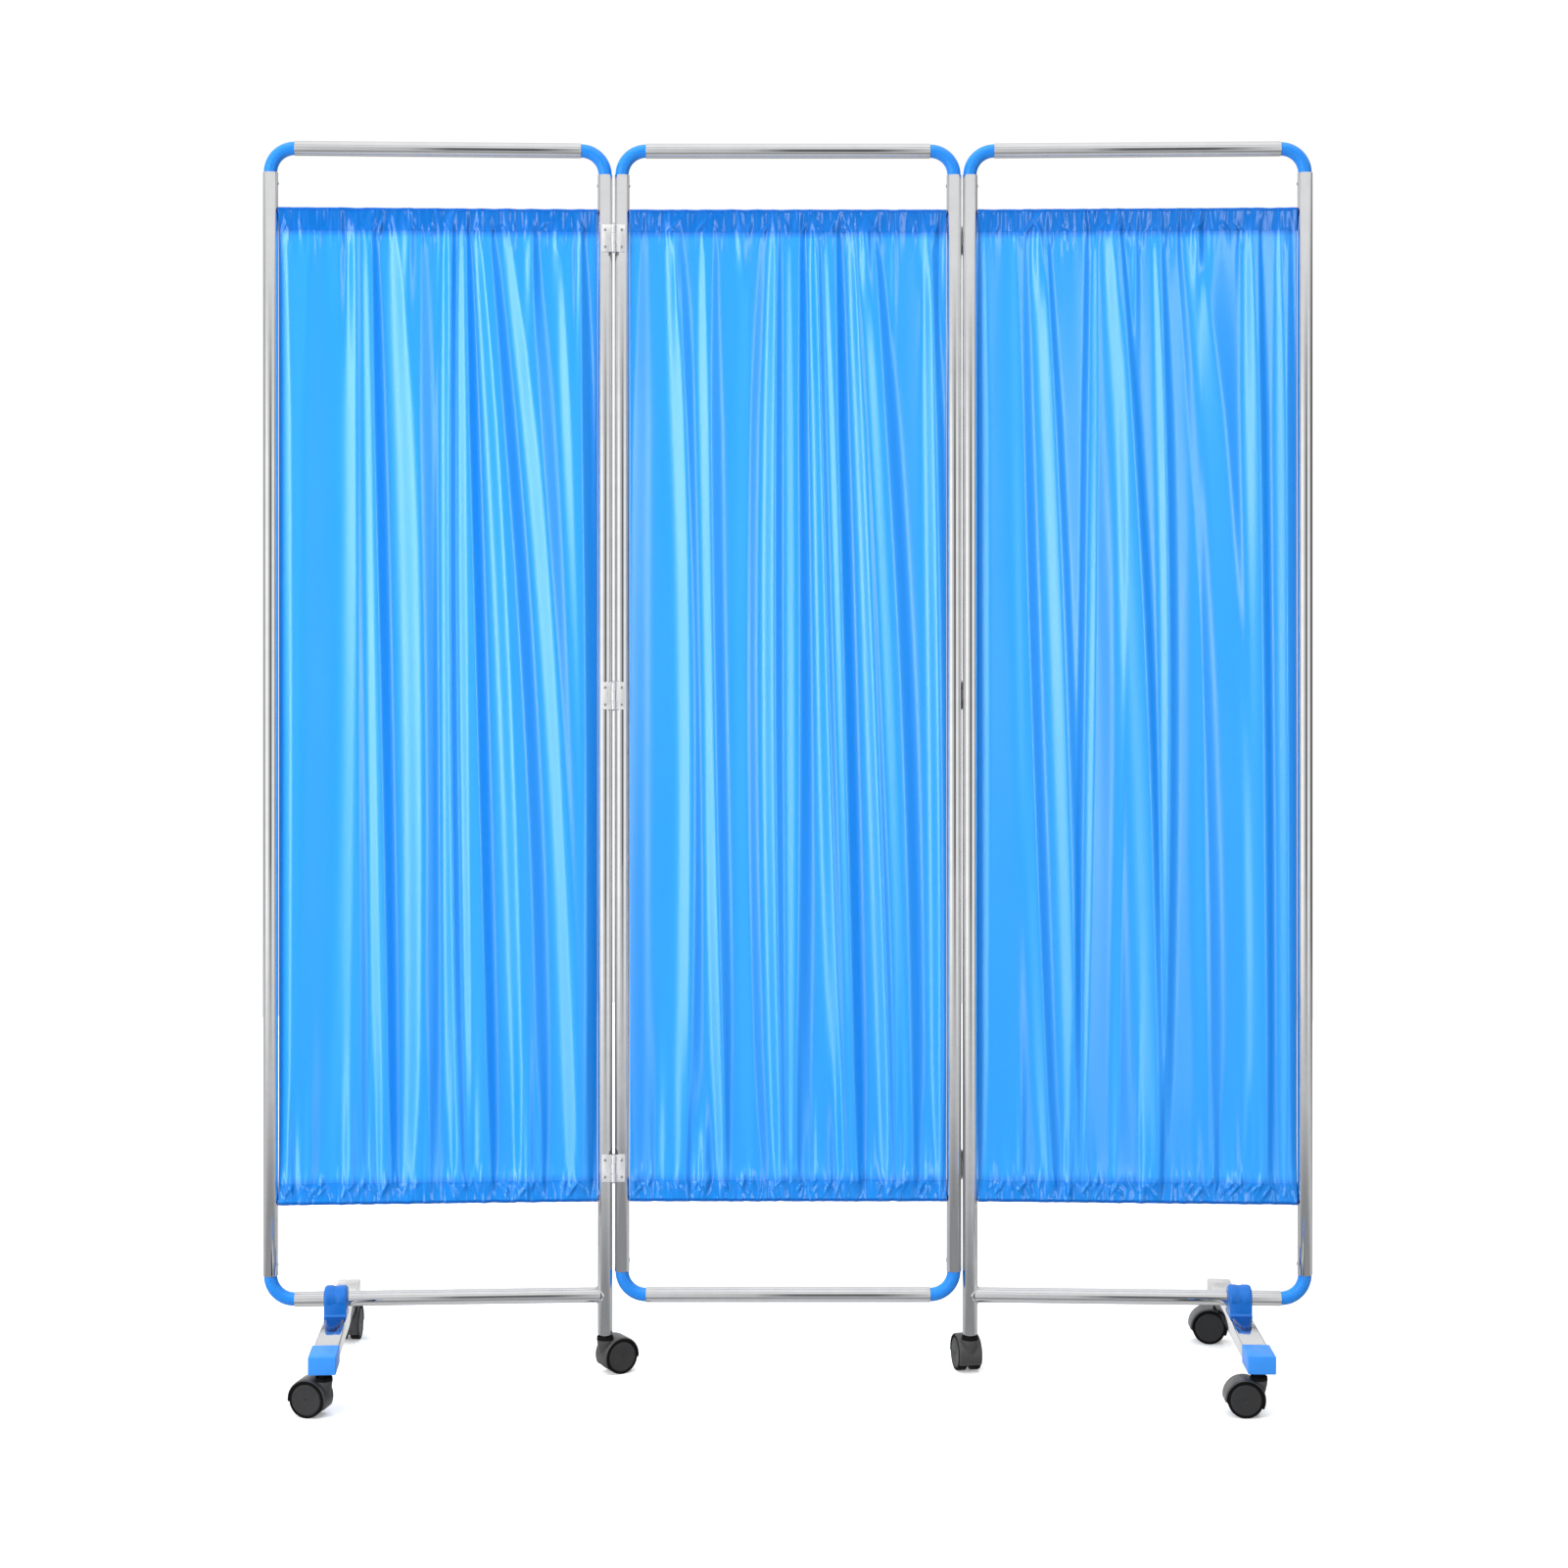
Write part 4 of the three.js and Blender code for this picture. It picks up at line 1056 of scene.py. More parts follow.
@dataclass
class Hinge:
    """Two stamped leaves on neighbouring posts, rolled into knuckles round one pin.

    The left junction's hinges are in front of the screen and the right junction's behind it.
    """

    name: str
    middle: Panel
    wing: Panel
    side: Side
    height: float = 40 * MM
    leaf: float = 17 * MM
    plate: float = 1.3 * MM
    barrel: float = 2.8 * MM
    barrel_gap: float = 0.5 * MM
    knuckle_gap: float = 0.2 * MM
    rolled_edge: float = 0.35 * MM
    corner: float = 2.6 * MM
    pin_radius: float = 2.1 * MM
    screw_share: float = 0.31
    knuckle_shares: tuple[tuple[float, float], ...] = ((0.0, 0.32), (0.68, 1.0))
    sizes: ScreenSizes = field(init=False)
    level: float = field(init=False)

    def __post_init__(self) -> None:
        """Finds the hinge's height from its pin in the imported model."""
        self.sizes = self.middle.sizes
        self.level = middle_of(f"{self.name}_pin").z

    def leaf_mesh(self, toward: int, knuckles: tuple[tuple[float, float], ...]) -> Mesh:
        """One leaf in its panel's frame.

        Args:
            toward: The sign of the panel's X at this junction.
            knuckles: The stretches of the hinge's height that the leaf is rolled into, as shares.

        Returns:
            The leaf with its knuckles.
        """
        axis = toward * (self.sizes.half + self.sizes.junction / 2)
        surface = self.side.value * (self.sizes.tube + self.plate / 2 - 0.3 * MM)
        clear, edge, barrel = self.barrel + self.barrel_gap, self.rolled_edge, self.barrel
        width, joined = self.leaf - clear, clear + 1 * MM
        middle = (axis - toward * (clear + width / 2), surface, self.level)
        plate = block((width, self.plate, self.height), middle, 0.3 * MM, 2)
        rounded(plate, [edge for edge in plate.edges if self.is_corner(edge, axis)], self.corner, 4)
        parts = [plate]
        for low, high in knuckles:
            bottom = self.level + (low - 0.5) * self.height + self.knuckle_gap
            top = self.level + (high - 0.5) * self.height - self.knuckle_gap
            side = [(barrel - edge, bottom), (barrel, bottom + edge), (barrel, top - edge), (barrel - edge, top)]
            ring = turned([(0, bottom), *side, (0, top)], steps=28)
            parts.append(moved(ring, at(axis, self.side.value * self.sizes.hinge_reach, 0)))
            place = (axis - toward * joined / 2, surface, (bottom + top) / 2)
            parts.append(block((joined, self.plate, top - bottom), place, 0.25 * MM, 1))
        return gathered(*parts)

    def is_corner(self, edge: Edge, axis: float) -> bool:
        """Whether an edge is a corner of the leaf away from its knuckles."""
        a, b = (vert.co for vert in edge.verts)
        far = abs(axis - a.x) > self.leaf * 0.93 and abs(a.z - self.level) > self.height * 0.47
        return far and abs(a.y - b.y) > self.plate * 0.4 and (a - b).xz.length < 0.1 * MM

    def screws(self, toward: int) -> Mesh:
        """The two screws of a leaf, over its post."""
        face = self.side.value
        x, y = toward * self.sizes.half, face * (self.sizes.tube + self.plate - 0.35 * MM)
        heights = [self.level + share * self.height for share in (-self.screw_share, self.screw_share)]
        places = [at(x, y, height) @ spun(-90 * face, "X") for height in heights]
        return gathered(*(moved(screw_head(radius=2.3 * MM, rise=0.9 * MM), place) for place in places))

    def pin(self) -> Mesh:
        """The pin with a domed head at each end."""
        radius, half = self.pin_radius, self.height / 2
        upper = [*arc((0, half), radius, 90, 0, 5), (radius, half - 0.6 * MM)]
        x = self.side.value * (self.sizes.half + self.sizes.junction / 2)
        place = at(x, self.side.value * self.sizes.hinge_reach, self.level)
        return moved(turned(upper + mirrored(upper), steps=24), place)

    def build(self) -> None:
        """Makes the leaves, their screws and the pin."""
        finishes, toward = self.middle.finishes, self.side.value
        wing_knuckles = ((self.knuckle_shares[0][1], self.knuckle_shares[1][0]),)
        for panel, way, knuckles in ((self.middle, toward, self.knuckle_shares), (self.wing, -toward, wing_knuckles)):
            name, leaf = f"{self.name}_{panel.name}_leaf", self.leaf_mesh(way, knuckles)
            panel.carrier.add(name, leaf, finishes.stamped, "polished_tube", crease=30.0)
            panel.carrier.add(f"{name}_screws", self.screws(way), finishes.plated, "zinc_pin", crease=30.0)
        node = f"{self.name}_pin"
        self.middle.carrier.add(f"{node}_shaft", self.pin(), finishes.plated, "zinc_pin", (node,))


@dataclass
class Foot:
    """A wing's cross foot: a flat tube with a sleeve cap, a plug and the clamp that seats the wing's rail."""

    panel: Panel
    width: float = 35 * MM
    height: float = 22 * MM
    wall: float = 1.5 * MM
    corner: float = 3.2 * MM
    length: float = 404 * MM
    cap: float = 56 * MM
    cap_wall: float = 1.8 * MM
    cap_edge: float = 1.8 * MM
    cap_recess: float = 8 * MM
    plug_depth: float = 14 * MM
    collar: float = 19.2 * MM
    collar_edge: float = 4.6 * MM
    groove: float = 0.8 * MM
    clamp: float = 34 * MM
    base: float = 22 * MM
    ledge: float = 5.4 * MM
    tongue: float = 72 * MM
    tongue_height: float = 4.6 * MM
    tongue_tip: float = 8 * MM
    x: float = field(init=False)
    middle_z: float = field(init=False)
    top: float = field(init=False)

    def __post_init__(self) -> None:
        """Finds the bar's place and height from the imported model."""
        name = self.panel.name
        low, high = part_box(f"{name}_foot_bar")
        self.middle_z, self.top = (low.z + high.z) / 2, high.z
        swivels = [joint_place(f"{name}_{spot}_swivel") for spot in ("front", "rear")]
        self.x = (self.panel.carrier.matrix.inverted() @ ((swivels[0] + swivels[1]) / 2)).x

    def build(self) -> None:
        """Makes the bar, the cap, the plug and the clamp."""
        self.bar()
        self.sleeve()
        self.plug()
        self.saddle()

    def add(
        self, part: str, piece: str, bm: Mesh, finish: Material, slot: str, crease: float = 38.0
    ) -> bpy.types.Object:
        """Adds a piece that stands for one of the foot's CAD nodes."""
        node = f"{self.panel.name}_foot_{part}"
        return self.panel.carrier.add(f"{node}_{piece}", bm, finish, slot, (node,), crease)

    def bar(self) -> None:
        """The polished flat tube, open behind."""
        outer = rounded_rectangle(self.width, self.height, self.corner, 6)
        inner = rounded_rectangle(self.width - 2 * self.wall, self.height - 2 * self.wall, self.corner - self.wall, 6)
        bm = walled(outer, inner, self.length)
        rounded(bm, sharp_edges(bm, 60), 0.25 * MM, 2)
        moved(bm, at(self.x, -self.length / 2, self.middle_z) @ ALONG_Y)
        self.add("bar", "tube", bm, self.panel.finishes.foot, "polished_tube", 30)

    def sleeve(self) -> None:
        """The blue cap: a sleeve with one closed end, rounded all over, and a thin lip at its open end."""
        size = Vector((self.width + 2 * self.cap_wall, self.cap, self.height + 2 * self.cap_wall))
        centre = Vector((self.x, (self.cap - self.length) / 2 - self.cap_wall, self.middle_z))
        bm = bmesh.new()
        bmesh.ops.create_cube(bm, size=1.0, matrix=Matrix.LocRotScale(centre, None, size))
        back = max(bm.faces, key=lambda face: face.calc_center_median().y)
        bmesh.ops.inset_region(bm, faces=[back], thickness=self.cap_wall)
        bmesh.ops.translate(bm, verts=back.verts, vec=(0, -self.cap_recess, 0))
        outer = [edge for edge in bm.edges if all(self.on_skin(vert.co - centre, size / 2) for vert in edge.verts)]
        rounded(bm, outer, self.cap_edge, 4)
        self.add("cap", "sleeve", bm, self.panel.finishes.cap, "blue_joint", 50)

    def on_skin(self, off: Vector, half: Vector) -> bool:
        """Whether a point is an outer corner of the sleeve."""
        return abs(abs(off.x) - half.x) < 1e-6 and abs(abs(off.z) - half.z) < 1e-6

    def plug(self) -> None:
        """The plug in the bar's rear end."""
        size = (self.width - 2 * self.wall, self.plug_depth, self.height - 2 * self.wall)
        bm = block(size, (self.x, (self.length - self.plug_depth) / 2, self.middle_z), 0.8 * MM, 3)
        self.add("plug", "insert", bm, self.panel.finishes.cap, "blue_joint")

    def saddle(self) -> None:
        """The clamp: a barrel-shaped collar round the rail, a stepped base on the bar and a pointed tongue in front,
        whose deeper blue is painted shade.
        """
        rail, foot, finishes = self.panel.sizes.bottom_rail, self.top + 0.25 * MM, self.panel.finishes
        # The tongue takes the deeper blue second material, which is painted shade.
        tongue = painted(self.tongue_plate(foot), lambda face: True)
        bm = gathered(self.collar_ring(rail), self.base_block(rail, foot), tongue)
        body = self.add("clamp", "body", bm, finishes.clamp, "blue_joint", 34)
        body.data.materials.append(finishes.tongue)
        place = at(self.x, self.collar - 0.2 * MM, rail) @ ALONG_Y
        screw = moved(screw_head(radius=3.2 * MM, rise=1.4 * MM), place)
        self.panel.carrier.add(f"{self.panel.name}_foot_clamp_screw", screw, finishes.plated, "zinc_pin")

    def collar_ring(self, rail: float) -> Mesh:
        """The ring round the rail, with a shallow groove round its middle."""
        half, bore, edge, outer = self.clamp / 2, self.panel.sizes.tube + 0.15 * MM, self.collar_edge, self.collar
        corner = arc((outer - edge, half - edge), edge, 0, 90, 7)
        groove = [(outer - self.groove, 3.2 * MM), (outer, 4.5 * MM)]
        upper = [*groove, *corner, (bore, half)]
        return moved(turned(mirrored(upper) + upper, closed=True, steps=56), at(self.x, 0, rail) @ ALONG_X)

    def base_block(self, rail: float, foot: float) -> Mesh:
        """The block under the ring: a flange on the bar that steps in and rises into the ring."""
        drop, thick = rail - foot, self.clamp - 1.6 * MM
        rise = self.ledge - drop
        outline = [(self.base, -drop), (self.base, rise), (self.collar + 0.4 * MM, rise + 1.8 * MM)]
        outline += [(self.collar - 0.6 * MM, -2 * MM), (11.6 * MM, -6 * MM)]
        outline += [(-x, z) for x, z in reversed(outline)]
        bm = extruded(outline, thick)
        rounded(bm, sharp_edges(bm, 20), 1.1 * MM, 3)
        return moved(bm, at(self.x - thick / 2, 0, rail) @ spun(90, "Z") @ LYING)

    def tongue_plate(self, foot: float) -> Mesh:
        """The flat tongue that lies on the bar and runs out to a round tip."""
        side, tip = self.clamp / 2 - 3 * MM, arc((0, self.tongue - self.tongue_tip), self.tongue_tip, 12, 168, 10)
        plan = [(side, 0), (side, self.base), *tip, (-side, self.base), (-side, 0)]
        bm = extruded([(x, -y) for x, y in plan], self.tongue_height)
        upper = [e for e in sharp_edges(bm, 40) if min(v.co.z for v in e.verts) > self.tongue_height * 0.8]
        rounded(bm, upper, 1.5 * MM, 4)
        return moved(bm, at(self.x, 0, foot))


@dataclass
class Castor:
    """A hood over two wheels, with its stem on the swivel's axis and the wheels trailing along its own X."""

    place: str
    finishes: Finishes
    wheel: float = 25 * MM
    inside: float = 3.6 * MM
    tyre: float = 13.6 * MM
    wall: float = 2.2 * MM
    clearance: float = 1.0 * MM
    shoulder: float = 3.4 * MM
    boss: float = 12.0 * MM
    rise: float = 1.6 * MM
    stem: float = 5 * MM
    collar: float = 7 * MM
    web_thickness: float = 5.6 * MM
    axle: float = 3.5 * MM
    bead: float = 19 * MM
    tread_edge: float = 1.5 * MM
    sweep: tuple[float, float] = (-6.0, 206.0)
    trail: float = field(init=False)
    axle_z: float = field(init=False)
    stem_top: float = field(init=False)
    half: float = field(init=False)
    crown: float = field(init=False)
    frame: Carrier = field(init=False)
    spin: Carrier = field(init=False)

    def __post_init__(self) -> None:
        """Finds the stem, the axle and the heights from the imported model."""
        stem, axle = joint_place(f"{self.place}_swivel"), joint_place(f"{self.place}_roll")
        trail = axle - stem
        self.trail, self.axle_z = trail.to_2d().length, axle.z
        self.stem_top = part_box(f"{self.place}_castor_housing")[1].z
        self.half = self.inside + self.tyre
        self.crown = self.axle_z + self.wheel + self.clearance + self.wall + self.rise
        matrix = at(stem.x, stem.y, 0) @ Matrix.Rotation(math.atan2(trail.y, trail.x), 4, "Z")
        self.frame = Carrier(f"{self.place}_castor", matrix)
        self.spin = Carrier(f"{self.place}_wheels", matrix @ at(self.trail, 0, axle.z))

    def build(self) -> None:
        """Makes the hood and the wheels."""
        self.hood()
        self.wheels()

    def fender(self) -> Mesh:
        """The shell over the wheels, turned round the axle between two flat ends. Its flat ends and its inside take the
        black second material as painted shade; its top stays the lighter grey.
        """
        inner, half, edge = self.wheel + self.clearance, self.half + 0.2 * MM, self.shoulder
        outer, lip = inner + self.wall, inner - 0.2 * MM
        upper = [(lip, half), *arc((outer - edge, half - edge), edge, 90, 0, 6)]
        hollow = [(inner, half - 1.4 * MM), (lip, half - 1.0 * MM)]
        start, end = self.sweep
        bm = turned(
            upper + mirrored(upper) + mirrored(hollow) + hollow, closed=True, steps=44, angle=math.radians(end - start)
        )
        rounded(bm, sharp_edges(bm, 70), 0.4 * MM, 2)
        # Painted shade: the shell's flat ends and its inside are given the black tread finish.
        painted(bm, lambda face: abs(face.normal.z) > 0.80 or face.calc_center_median().xy.length < inner)
        return moved(bm, at(self.trail, 0, self.axle_z) @ LYING @ spun(start, "Z"))

    def web(self) -> Mesh:
        """The plate between the wheels that carries the axle, arched underneath."""
        rim = arc((0, 0), self.wheel + self.clearance + self.wall * 0.6, *self.sweep, 36)
        hollow = arc((0, -0.5 * self.wheel), 0.86 * self.wheel, 158, 22, 14)
        bm = extruded(rim + hollow, self.web_thickness)
        rounded(bm, sharp_edges(bm, 60), 0.5 * MM, 2)
        return moved(bm, at(self.trail, self.web_thickness / 2, self.axle_z) @ LYING)

    def neck(self) -> Mesh:
        """The cup round the tube's end, flaring down into the hood's back. Its top is black, as painted shade under the
        tube's end.
        """
        steps = ((-1.6, -2.2), (-1.2, -0.3), (-0.5, 0.0), (0.0, -0.7), (0.2, -5.0), (-1.0, -14.0), (-3.4, -24.0))
        flare = [(self.boss + out * MM, self.crown + up * MM) for out, up in steps]
        cup = turned([(0, self.crown - 2.2 * MM), *flare, (0, self.crown - 27 * MM)], steps=40)
        # Painted shade: the top of the cup takes the black second material.
        return painted(cup, lambda face: face.calc_center_median().z > self.crown - 5.5 * MM)

    def hood(self) -> None:
        """The whole housing: shell, web, neck and stem, with a black collar where the castor isn't in a post: a real
        neck whose black is partly painted shade under the foot's cap.
        """
        parts = [self.fender(), self.web(), self.neck(), cylinder(self.stem, self.axle_z, self.stem_top)]
        if "inner" not in self.place:
            collar_top = min(self.stem_top - 12 * MM, self.crown + 12 * MM)
            collar = cylinder(self.collar, self.crown - 4 * MM, collar_top, 28)
            # The collar is painted black, partly its own colour and partly painted shade under the foot's cap.
            parts.append(painted(collar, lambda face: True))
        node = f"{self.place}_castor_housing"
        piece = self.frame.add(f"{node}_hood", gathered(*parts), self.finishes.hood, "black_castor", (node,), 34)
        piece.data.materials.append(self.finishes.tread)

    def tread(self) -> Mesh:
        """One wheel's tread, round Z, with its outer side up."""
        outer, inner, edge, bead, rim = self.half, self.inside, self.tread_edge, self.bead, self.wheel - self.tread_edge
        side = [(bead, inner), (rim, inner), *arc((rim, inner + edge), edge, -60, 0, 3)]
        side += [*arc((rim, outer - edge), edge, 0, 90, 4), (self.wheel - 2.4 * MM, outer - 0.1 * MM)]
        side += [(self.wheel - 2.8 * MM, outer - 0.8 * MM), (bead, outer - 0.9 * MM)]
        return turned(side, closed=True, steps=64)

    def disc(self) -> Mesh:
        """One wheel's dished disc, round Z, with its outer side up."""
        outer, inner, face = self.half, self.inside, self.wheel - 2.9 * MM
        hub = [(0.0, 1.0), (1.4, 1.0), (2.0, 0.5), (2.6, 0.2), (3.4, 0.18)]
        side = [(radius * MM, outer - sink * MM) for radius, sink in hub]
        side += [(face - 4.4 * MM, outer - 0.12 * MM), (face - 3.6 * MM, outer - 0.1 * MM)]
        side += [*arc((face - 2.4 * MM, outer - 2.5 * MM), 2.4 * MM, 86, 8, 7), (face, outer - 3 * MM)]
        side += [(face - 1 * MM, inner + 1 * MM), (face - 2 * MM, inner), (0, inner)]
        return turned(side, steps=64)

    def wheels(self) -> None:
        """Two grey discs in black treads, with the axle between them."""
        node, reach = f"{self.place}_castor_wheels", self.inside + 2 * MM
        treads, discs = ([moved(part(), spun(90 * sign, "X")) for sign in (1, -1)] for part in (self.tread, self.disc))
        discs.append(moved(cylinder(self.axle, -reach, reach), LYING))
        self.spin.add(f"{node}_treads", gathered(*treads), self.finishes.tread, "grey_wheel", (node,), 30)
        self.spin.add(f"{node}_discs", gathered(*discs), self.finishes.disc, "grey_wheel", crease=30)


@dataclass(frozen=True)
class Softbox:
    """A rectangular light aimed at a point, with its power in watts. A satin one only shows as the cloths' shine."""

    name: str
    place: Point
    aim: Point
    size: tuple[float, float]
    power: float
    satin: bool = False

    def hang(self, cloths: bpy.types.Collection) -> None:
        """Puts the light up. Polished steel mirrors the room but no light."""
        data = bpy.data.lights.new(self.name, "AREA")
        data.shape, data.energy = "RECTANGLE", self.power
        data.size, data.size_y = self.size
        lamp = in_scene(self.name, data)
        lamp.visible_glossy, lamp.visible_diffuse = self.satin, not self.satin
        lamp.light_linking.receiver_collection = cloths if self.satin else None
        lamp.location = self.place
        lamp.rotation_euler = (Vector(self.aim) - Vector(self.place)).to_track_quat("-Z", "Y").to_euler()


class Studio:
    """The pale floor, the soft lights and the camera. None of it belongs to the screen."""

    PICTURE = 1601
    VANISHING_PIXEL = (739.0, 600.0)
    EYE = (-0.094, -3.731, 1.150)
    LENS = 58.8
    SENSOR = 36.0
    FLOOR_RADIUS = 3.4
    FLOOR_SEEN = (1.0, 1.0, 1.0)
    FLOOR_BOUNCE = (0.50, 0.50, 0.50)
    FLOOR_CLEAR = 0.85
    FLOOR_HAZE = 0.22
    ROOM = 0.50
    ROOM_LEAN = 0.30
    ROOM_SIDE = (-0.84, -0.46, 0.28)
    WALLS = (
        (0.0, 0.50), (0.03, 0.58), (0.06, 0.95), (0.085, 1.2), (0.15, 1.15), (0.175, 0.70), (0.215, 0.62),
        (0.235, 0.55), (0.255, 0.14), (0.30, 0.12), (0.325, 0.60), (0.35, 0.98), (0.42, 0.92), (0.45, 0.55),
        (0.49, 0.16), (0.53, 0.14), (0.57, 0.12), (0.62, 0.10), (0.67, 0.12), (0.71, 0.85), (0.80, 1.05),
        (0.84, 0.60), (0.90, 0.55), (0.95, 0.46), (1.0, 0.50),
    )
    HEIGHTS = (
        (0.0, 0.60), (0.06, 0.60), (0.12, 0.28), (0.23, 0.22), (0.28, 0.55), (0.34, 0.60), (0.66, 0.62), (0.72, 0.85),
        (0.82, 0.90), (0.855, 0.50), (0.89, 0.92), (1.0, 1.0),
    )
    LEVEL_RANGE = (0.20, 0.46)
    LIGHTS = (
        Softbox("overhead", (0, -0.6, 6.0), (0, -0.6, 0), (7.5, 7.5), 420),
        Softbox("key", (-3.3, -3.1, 1.9), (0, 0, 1.0), (2.2, 2.8), 138),
        Softbox("window", (-3.7, -2.7, 0.55), (0, 0, 0.8), (1.7, 5.2), 200, satin=True),
        Softbox("veil", (1.75, -3.7, 1.0), (0.7, 0, 1.0), (0.8, 2.8), 66, satin=True),
        Softbox("fill", (1.65, -3.9, 1.5), (0.6, 0, 1.0), (0.5, 1.6), 16),
        Softbox("rear_key", (-2.6, 3.4, 2.2), (0, 0, 1.0), (1.8, 2.4), 62),
        Softbox("rear_window", (3.3, 3.0, 0.9), (0, 0, 0.9), (1.6, 4.4), 150, satin=True),
    )

    def camera(self) -> None:
        """A level camera whose shift puts the horizon and the vanishing point where the photograph has them."""
        data = bpy.data.cameras.new("photo_view")
        data.lens = self.LENS
        data.sensor_width = self.SENSOR
        across, down = self.VANISHING_PIXEL
        data.shift_x = (self.PICTURE / 2 - across) / self.PICTURE
        data.shift_y = (down - self.PICTURE / 2) / self.PICTURE
        camera = in_scene("photo_view", data)
        camera.location, camera.rotation_euler = self.EYE, (math.radians(90), 0, 0)
        bpy.context.scene.camera = camera

    def floor(self) -> None:
        """A wide pale floor."""
        bm = bmesh.new()
        bmesh.ops.create_circle(bm, cap_ends=True, segments=96, radius=self.FLOOR_RADIUS)
        floor, shader = meshed("studio_floor", bm), Shader("studio_white")
        shader.set(Roughness=0.9, Specular_IOR_Level=0.0, Emission_Color=(1, 1, 1, 1))
        path, surface = shader.node("ShaderNodeLightPath"), shader.surface
        seen, glossy = path.outputs["Is Camera Ray"], path.outputs["Is Glossy Ray"]
        shader.link(shader.mixed(seen, self.FLOOR_BOUNCE, self.FLOOR_SEEN), surface.inputs["Base Color"])
        shader.link(shader.maths("MULTIPLY", seen, self.FLOOR_HAZE), surface.inputs["Emission Strength"])
        clear = shader.node("ShaderNodeBsdfTransparent")
        share = shader.maths("MULTIPLY", glossy, self.FLOOR_CLEAR)
        ground = shader.either(share, surface.outputs["BSDF"], clear.outputs["BSDF"])
        shader.link(ground, shader.output.inputs["Surface"])
        floor.data.materials.append(shader.material)

    def surroundings(self) -> None:
        """A white room, brighter on one side, whose windows and walls show in polished steel."""
        world = bpy.data.worlds.new("studio")
        world.use_nodes = True
        room = Nodes(world.node_tree)
        around = room.node("ShaderNodeTexCoord").outputs["Generated"]
        split = room.node("ShaderNodeSeparateXYZ")
        room.link(around, split.inputs["Vector"])
        angle = room.maths("ARCTAN2", split.outputs["Y"], split.outputs["X"])
        walls = self.striped(room, angle, math.pi, self.WALLS)
        heights = self.striped(room, split.outputs["Z"], 1.0, self.HEIGHTS)
        low, high = self.LEVEL_RANGE
        away = room.node("ShaderNodeMapRange", From_Min=low, From_Max=high)
        away.interpolation_type = "SMOOTHSTEP"
        room.link(room.maths("ABSOLUTE", split.outputs["Z"]), away.inputs["Value"])
        grey = room.tree.nodes.new("ShaderNodeMix")
        for source, name in ((away.outputs["Result"], "Factor"), (walls, "A"), (heights, "B")):
            room.link(source, grey.inputs[name])
        side = room.tree.nodes.new("ShaderNodeVectorMath")
        side.operation = "DOT_PRODUCT"
        side.inputs[1].default_value = self.ROOM_SIDE
        room.link(around, side.inputs[0])
        lean = room.ranged(side.outputs["Value"], self.ROOM - self.ROOM_LEAN, self.ROOM + self.ROOM_LEAN, -1.0, 1.0)
        lit, reflected, plain = (self.background(room, strength) for strength in (lean, grey.outputs["Result"], None))
        path = room.node("ShaderNodeLightPath")
        soft = room.either(path.outputs["Is Glossy Ray"], lit, reflected)
        seen = room.either(path.outputs["Is Camera Ray"], soft, plain)
        room.link(seen, room.node("ShaderNodeOutputWorld").inputs["Surface"])
        bpy.context.scene.world = world

    def background(self, room: Nodes, grey: Socket | None) -> Socket:
        """A background of a grey, or of plain white."""
        node = room.node("ShaderNodeBackground", Color=(1, 1, 1, 1))
        if grey:
            room.link(grey, node.inputs["Strength"])
        return node.outputs["Background"]

    def striped(self, room: Nodes, value: Socket, reach: float, stops: tuple[tuple[float, float], ...]) -> Socket:
        """A ramp of greys over a value that runs as far below zero as above it."""
        ramp = room.node("ShaderNodeValToRGB")
        room.link(room.ranged(value, 0.0, 1.0, -reach, reach), ramp.inputs["Fac"])
        ramp.color_ramp.interpolation = "LINEAR"
        elements = ramp.color_ramp.elements
        for i, (place, grey) in enumerate(stops):
            element = elements[i] if i < 2 else elements.new(place)
            element.position = place
            element.color = (grey, grey, grey, 1)
        return ramp.outputs["Color"]

    def build(self) -> None:
        """Sets the whole studio up."""
        cloths = bpy.data.collections.new("satin_cloths")
        for panel in ("left", "middle", "right"):
            cloths.objects.link(bpy.data.objects[f"{panel}_curtain_cloth"])
        self.surroundings()
        self.floor()
        for light in self.LIGHTS:
            light.hang(cloths)
        self.camera()
        view = bpy.context.scene.view_settings
        view.view_transform, view.look = "Standard", "None"


def wing_yaw(name: str) -> float:
    """How far a wing is turned about Z, from the line between its foot's two swivels."""
    along = joint_place(f"{name}_rear_swivel") - joint_place(f"{name}_front_swivel")
    return math.atan2(-along.x, along.y)


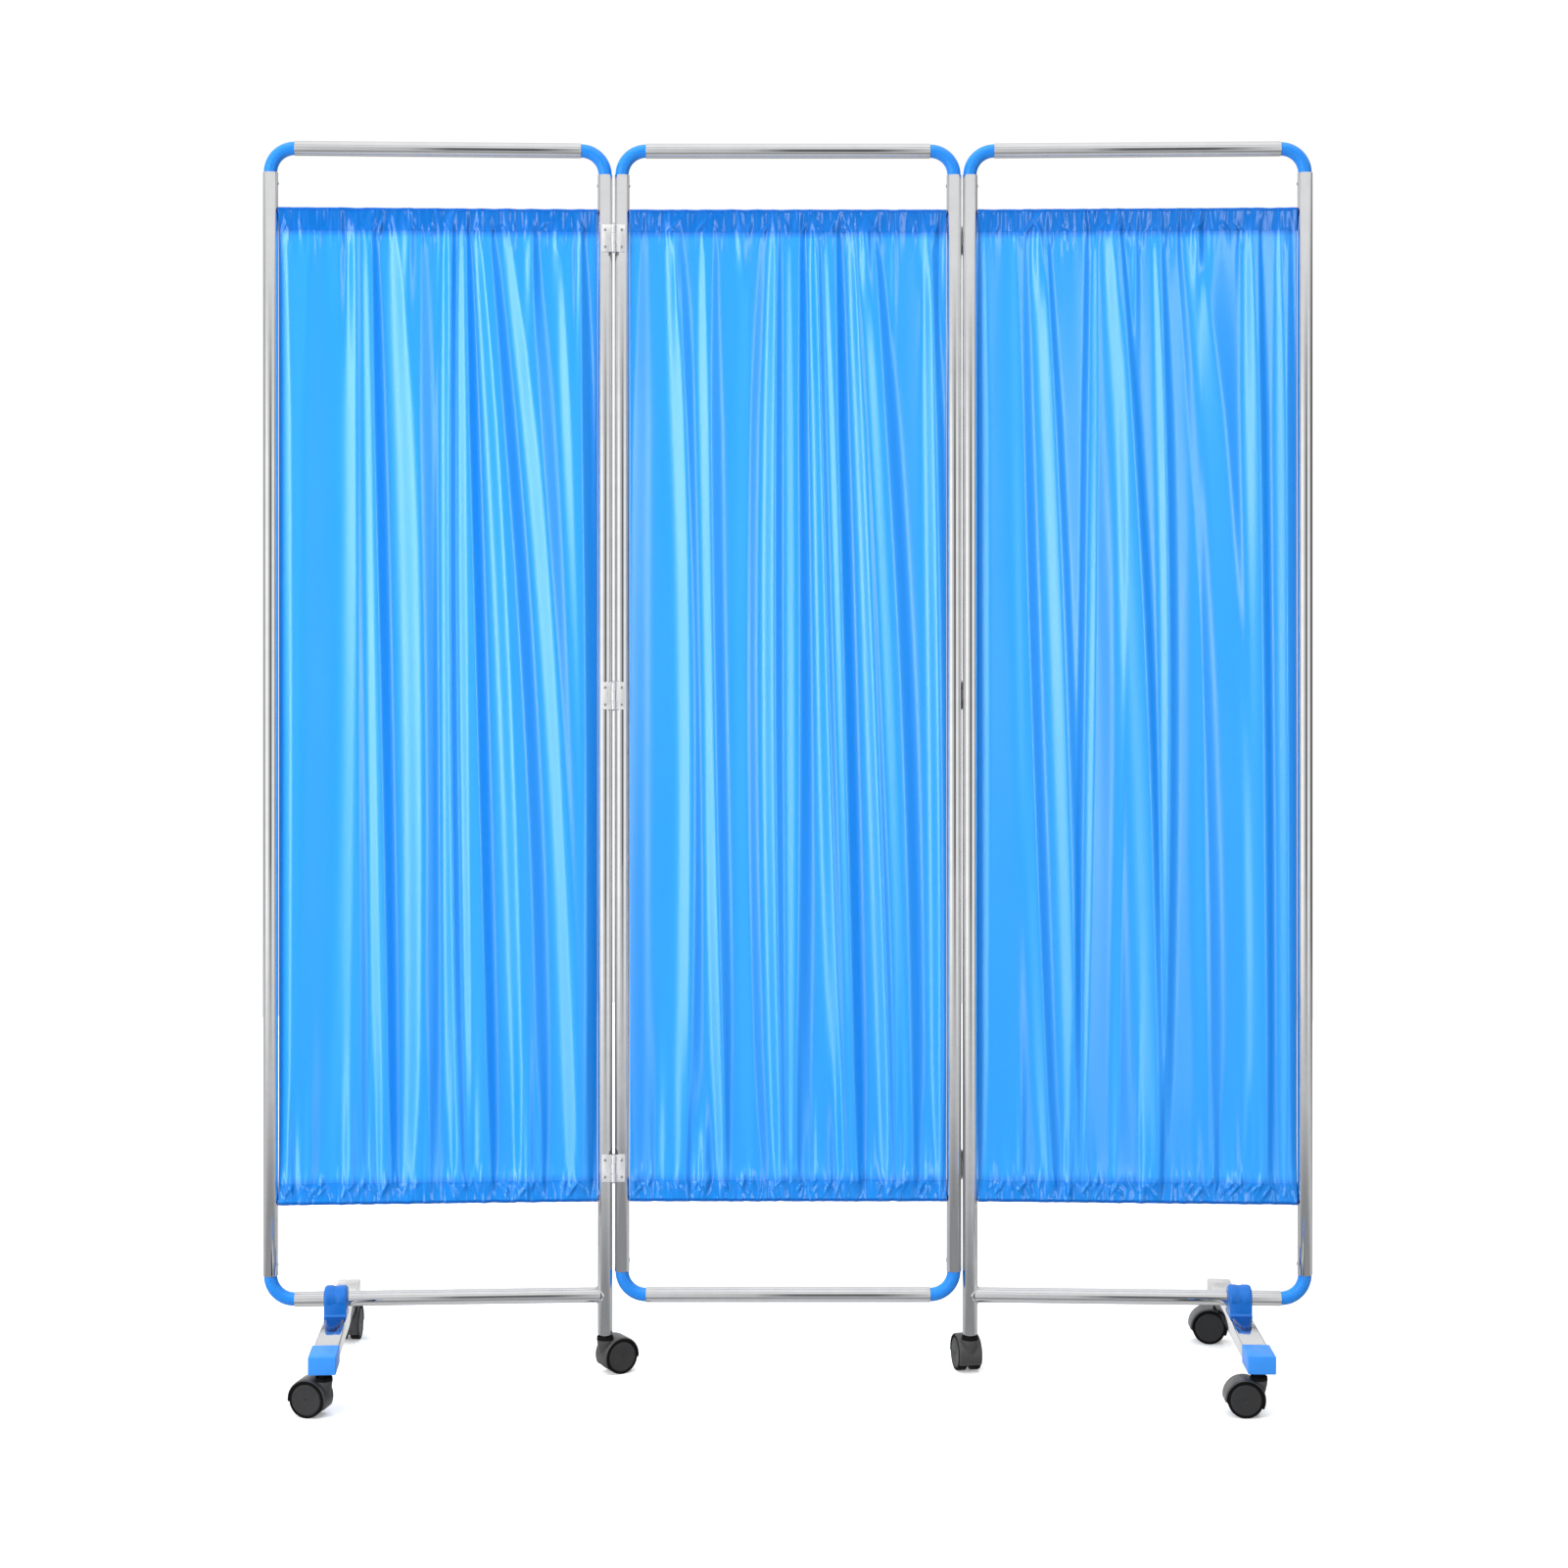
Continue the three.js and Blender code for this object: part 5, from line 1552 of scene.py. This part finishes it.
def build_panel(panel: Panel, outward: Side | None, folds: tuple[Turn, ...], seed: int) -> None:
    """Makes a panel's tubes, elbows, rods and curtain.

    Args:
        panel: The panel.
        outward: The side of a wing's free edge, or None for the middle panel.
        folds: Its curtain's folds.
        seed: What its curtain's small wrinkles are drawn from.
    """
    sizes, name = panel.sizes, panel.name
    panel.rail(f"{name}_top_rail", sizes.top_rail)
    panel.rail(f"{name}_bottom_rail", sizes.bottom_rail, Side(-outward.value) if outward else None)
    for side in Side:
        word = side.name.lower() if outward is None else ("outer" if side is outward else "inner")
        foot = None
        if outward and side is not outward:
            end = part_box(f"{name}_inner_post")[0].z
            nose, socket = sizes.tube - 2.6 * MM, 5.4 * MM
            foot = [(socket, end), (nose, end), (sizes.tube - 0.8 * MM, end + 1.4 * MM), (sizes.tube, end + 3.6 * MM)]
        panel.post(side, f"{name}_{word}_post", foot)
        panel.elbow(f"{name}_{word}_top_elbow", side, 1)
        panel.elbow_screw(f"{name}_{word}_top_screw", side, 1)
        if foot is None:
            panel.elbow(f"{name}_{word}_bottom_elbow", side, -1)
            panel.elbow_screw(f"{name}_{word}_bottom_screw", side, -1)
    panel.rods()
    Curtain(panel, folds, seed).build()


def main() -> None:
    """Builds the screen and its studio."""
    logging.basicConfig(level=logging.INFO, format="%(message)s")
    finishes = Finishes()
    sizes = ScreenSizes()
    middle = Panel("middle", "middle_panel", 0.0, sizes, finishes)
    build_panel(middle, None, MIDDLE_FOLD_SHARES, 5)
    for side, folds, seed in ((Side.LEFT, LEFT_FOLD_SHARES, 2), (Side.RIGHT, RIGHT_FOLD_SHARES, 8)):
        name = side.name.lower()
        wing = Panel(name, f"{name}_wing", wing_yaw(name), sizes, finishes)
        build_panel(wing, side, folds, seed)
        for level in ("lower", "centre", "upper"):
            Hinge(f"{name}_{level}_hinge", middle, wing, side).build()
        Foot(wing).build()
        for spot in ("front", "rear", "inner"):
            Castor(f"{name}_{spot}", finishes).build()
    Studio().build()


if __name__ == "__main__":
    main()
